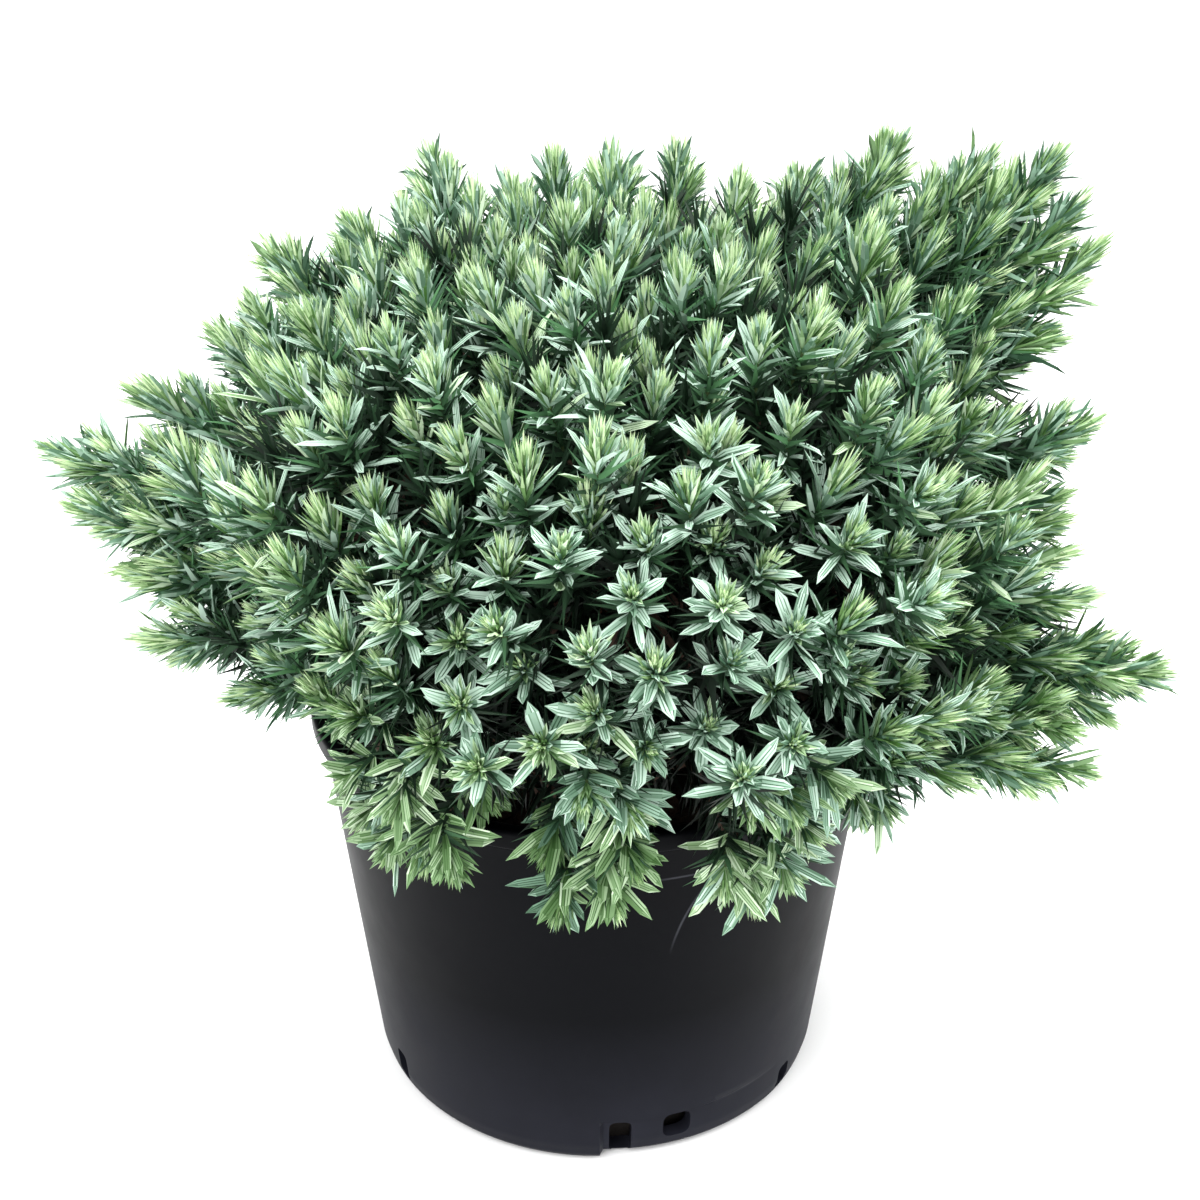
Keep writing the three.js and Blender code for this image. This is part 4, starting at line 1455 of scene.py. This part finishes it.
def set_back_share(points, s):
    """How far into a recess of the foot each point of the outside lies, from 0 to 1."""
    x, y, z = points.T
    bearing = np.degrees(np.arctan2(y, x))
    share = np.zeros(len(points))
    for start, end in RECESSES:
        fading = np.clip((end - bearing) / (end - start), 0, 1)
        share = np.maximum(share, np.where(bearing > start, fading, 0))
    share *= np.clip((s.recess_height - z) / (0.8 * MM) + 0.5, 0, 1)
    outside = (np.hypot(x, y) > pot_inside(z, s) + s.wall / 2) | (z < s.floor / 2)
    return share * outside


def mesh_points(mesh):
    points = np.empty(len(mesh.vertices) * 3)
    mesh.vertices.foreach_get("co", points)
    return points.reshape(-1, 3)


def press_foot(piece, s):
    """Sets the foot back in its recesses and lifts it off the ground there."""
    points = mesh_points(piece.data)
    share = set_back_share(points, s)[:, None]
    away = points * (1, 1, 0)
    away /= np.linalg.norm(away, axis=1, keepdims=True) + 1e-9
    low = np.clip(1 - points[:, 2:] / s.foot_round, 0, 1)
    points += share * (UP * low * s.foot_ring - away * s.recess)
    piece.data.vertices.foreach_set("co", points.ravel())
    piece.data.update()


class OBJECT_OT_juniper_pot(bpy.types.Operator):
    """Make the moulded nursery pot with its lip, set back foot and drain holes"""

    bl_idname = "object.juniper_pot"
    bl_label = "Nursery pot"

    def execute(self, context):
        s = context.scene.juniper_pot
        lip = s.height - s.lip_height
        foot = pot_wall(0, s)
        ring = s.foot_ring
        top = s.recess_height
        thick = top + THICK_OVER
        low = np.linspace(s.foot_round + ring + 2 * MM, top - 1.6 * MM, 6)
        step = np.linspace(top - 0.8 * MM, top + 0.8 * MM, 3)
        high = np.linspace(top + 4 * MM, lip - 8 * MM, 10)
        points = [
            (0, ring),
            (70 * MM, ring),
            (74 * MM, 0),
            (foot - 3.2 * MM, 0),
            (foot - 2.8 * MM, ring / 2),
            (foot - 3.4 * MM, ring * 0.9),
            *rounded((foot, ring), (0, ring), (foot, 0.1), s.foot_round, 6),
            *((pot_wall(z, s), z) for z in (*low, *step, *high)),
            *rounded((pot_wall(lip, s), lip), (pot_wall(lip, s), lip - 0.1),
                     (pot_wall(lip, s) + 0.1, lip + 0.02), 1.2 * MM, 3),
            *rounded((s.lip_radius, lip + 0.8 * MM), (pot_wall(lip, s), lip),
                     (s.lip_radius, s.height), 1 * MM, 3),
            *rounded((s.lip_radius, s.height), (s.lip_radius, lip), (0, s.height), 1.8 * MM, 5),
            *rounded((pot_inside(s.height, s), s.height), (s.lip_radius, s.height),
                     (pot_inside(lip, s), lip), 1.2 * MM, 3),
            (pot_inside(thick + 6 * MM, s), thick + 6 * MM),
            (pot_inside(thick, s), thick),
            (pot_inside(0, s) - s.foot_round + s.wall, s.floor + 2 * MM),
            (pot_inside(0, s) - s.foot_round, s.floor),
            (0, s.floor),
        ]
        piece = spun("pot_moulded", points, s.segments)
        press_foot(piece, s)
        for drain in DRAINS:
            cut_away(piece, drain_cutter(s, *drain))
        # Marks the set back foot, which the plastic paints paler as painted light.
        share = piece.data.attributes.new("recess_painted_light", "FLOAT", "POINT")
        share.data.foreach_set("value", set_back_share(mesh_points(piece.data), s))
        select_only(piece)
        bpy.ops.object.shade_smooth_by_angle(angle=math.radians(32))
        piece.data.materials.append(moulded_polyethylene())
        hand_over(piece, "pot", "pot")
        return {"FINISHED"}


# ------------------------------------------------------------------ potting mix
def damp_bark_mix(name, base, scale):
    """Composted pine bark: matt, dark where damp, with pale woody specks. Its base is made
    darker as painted shade under the crown.
    """
    damp_and_painted_shade = tuple(part * 0.45 for part in base)
    woody = tuple(min(1, part * 1.7) for part in base)
    return grained_material(
        name, base, (0.92, 0.25), (1, 1, 1), (scale, 6, 0.7), ((0.3, damp_and_painted_shade), (0.72, woody)),
        (0.8, 1 * MM),
    )


class OBJECT_OT_juniper_mix(bpy.types.Operator):
    """Make the potting mix and the bark chips on its surface"""

    bl_idname = "object.juniper_mix"
    bl_label = "Potting mix"

    def execute(self, context):
        s = context.scene.juniper_mix
        pot = context.scene.juniper_pot
        gap = 0.3 * MM
        thick = pot.recess_height + THICK_OVER
        radius = pot_inside(s.level, pot) - gap
        points = [
            (0, pot.floor + gap), (pot_inside(0, pot) - pot.foot_round - gap, pot.floor + gap),
            (pot_inside(thick, pot) - 2 * MM, thick),
            (pot_inside(thick + 7 * MM, pot) - gap, thick + 7 * MM),
            *((r, s.level) for r in np.linspace(radius, 0, 30)),
        ]
        piece = spun("potting_mix_bed", points, 110)
        for vertex in piece.data.vertices:
            co = vertex.co
            if co.z > s.level - 0.1 * MM:
                lump = noise.fractal(co * 130, 0.9, 2.0, 5)
                co.z += (lump - 0.6) * 1.6 * MM
        bpy.ops.object.shade_smooth()
        piece.data.materials.append(damp_bark_mix("damp_potting_mix_painted_shade", tuple(s.damp_and_painted_shade), 900))
        hand_over(piece, "potting_mix", "potting_mix")
        self.add_chips(context, s, radius)
        return {"FINISHED"}

    def add_chips(self, context, s, radius):
        """Flat splintered chips, modelled once and laid over the bed."""
        deselect_all()
        bpy.ops.mesh.primitive_cube_add(size=1)
        chip = context.object
        edit_whole(chip)
        bpy.ops.mesh.subdivide(number_cuts=1)
        bpy.ops.transform.vertex_random(offset=0.16, seed=5)
        bpy.ops.mesh.quads_convert_to_tris()
        bpy.ops.object.mode_set(mode="OBJECT")
        points = np.array([v.co for v in chip.data.vertices])
        faces = np.array([p.vertices for p in chip.data.polygons])
        bpy.data.objects.remove(chip)
        rng = np.random.RandomState(77)
        count = s.chips
        away = (radius - 5 * MM) * np.sqrt(rng.uniform(0.03, 1, count))
        turn = rng.uniform(0, 2 * math.pi, count)
        size = s.chip_length * rng.uniform(0.3, 1, count) ** 1.5
        places = np.stack(
            (away * np.cos(turn), away * np.sin(turn), s.level + size * 0.12), 1
        )
        axes = unit(np.stack(
            (rng.uniform(-0.45, 0.45, count), rng.uniform(-0.45, 0.45, count), np.ones(count)), 1
        ))
        first, second = sideways(axes, rng.uniform(0, 2 * math.pi, count))
        scale = np.stack((size, size * rng.uniform(0.4, 0.8, count), size * 0.28), 1)
        local = points[None] * scale[:, None]
        vertices = (
            places[:, None] + local[..., :1] * first[:, None]
            + local[..., 1:2] * second[:, None] + local[..., 2:] * axes[:, None]
        )
        finish = rng.randint(0, 2, count)[:, None]
        base = np.array(s.chip)
        piece = joined_mesh("potting_mix_chips", [(vertices, faces, finish)], [
            damp_bark_mix("pine_bark_chip_red", tuple(base), 500),
            damp_bark_mix("pine_bark_chip_grey", tuple(base * 0.7), 500),
        ])
        hand_over(piece, "potting_mix")


# ------------------------------------------------------------------ stage
class OBJECT_OT_juniper_stage(bpy.types.Operator):
    """Set up the pale floor, the soft studio light and the camera"""

    bl_idname = "object.juniper_stage"
    bl_label = "Stage"

    def execute(self, context):
        s = context.scene.juniper_stage
        deselect_all()
        bpy.ops.mesh.primitive_plane_add(size=40, location=(0, 0, 0))
        floor = context.object
        floor.name = "studio_floor"
        floor.data.materials.append(new_material("studio_floor", tuple(s.floor), 0.8, 0.2)[0])
        world = bpy.data.worlds.new("soft_studio")
        world.use_nodes = True
        sky = world.node_tree.nodes["Background"]
        sky.inputs["Color"].default_value = (1, 1, 1, 1)
        sky.inputs["Strength"].default_value = s.sky
        context.scene.world = world
        for name, place, size, power in SOFTBOXES:
            bpy.ops.object.light_add(type="AREA", location=place)
            light = context.object
            light.name = name
            light.data.shape = "DISK"
            light.data.size = size
            light.data.energy = power
            aim = Vector(LIT_POINT) - Vector(place)
            light.rotation_euler = aim.to_track_quat("-Z", "Y").to_euler()
        down, away = math.sin(s.pitch), math.cos(s.pitch)
        bpy.ops.object.camera_add(
            location=(s.aside, -s.distance * away, CROWN_MIDDLE[2] + s.distance * down),
            rotation=(math.pi / 2 - s.pitch, 0, 0),
        )
        camera = context.object
        camera.data.lens = s.lens
        camera.data.sensor_width = SENSOR
        camera.data.clip_start = 0.01
        context.scene.camera = camera
        context.scene.view_settings.view_transform = "Standard"
        return {"FINISHED"}


# ------------------------------------------------------------------ panel and run
PIECES = (
    OBJECT_OT_juniper_pot,
    OBJECT_OT_juniper_mix,
    OBJECT_OT_juniper_trunk,
    OBJECT_OT_juniper_boughs,
    OBJECT_OT_juniper_twigs,
    OBJECT_OT_juniper_old_needles,
    OBJECT_OT_juniper_blades,
    OBJECT_OT_juniper_tufts,
    OBJECT_OT_juniper_stage,
)

GROUPS = {
    "juniper_pot": JuniperPotSettings,
    "juniper_mix": JuniperMixSettings,
    "juniper_limbs": JuniperLimbSettings,
    "juniper_needles": JuniperNeedleSettings,
    "juniper_stage": JuniperStageSettings,
}


class VIEW3D_PT_juniper(bpy.types.Panel):
    bl_label = "Potted juniper"
    bl_idname = "VIEW3D_PT_juniper"
    bl_space_type = "VIEW_3D"
    bl_region_type = "UI"
    bl_category = "Juniper"

    def draw(self, context):
        for piece in PIECES:
            self.layout.operator(piece.bl_idname)
        for name in GROUPS:
            box = self.layout.box()
            group = getattr(context.scene, name)
            for key in group.bl_rna.properties.keys():
                if key not in {"rna_type", "name"}:
                    box.prop(group, key)


def register():
    for name, group in GROUPS.items():
        bpy.utils.register_class(group)
        setattr(bpy.types.Scene, name, PointerProperty(type=group))
    for piece in PIECES:
        bpy.utils.register_class(piece)
    bpy.utils.register_class(VIEW3D_PT_juniper)


def unregister():
    bpy.utils.unregister_class(VIEW3D_PT_juniper)
    for piece in reversed(PIECES):
        bpy.utils.unregister_class(piece)
    for name, group in reversed(GROUPS.items()):
        delattr(bpy.types.Scene, name)
        bpy.utils.unregister_class(group)


def main():
    register()
    for piece in PIECES:
        category, name = piece.bl_idname.split(".")
        getattr(getattr(bpy.ops, category), name)()


if __name__ == "__main__":
    main()
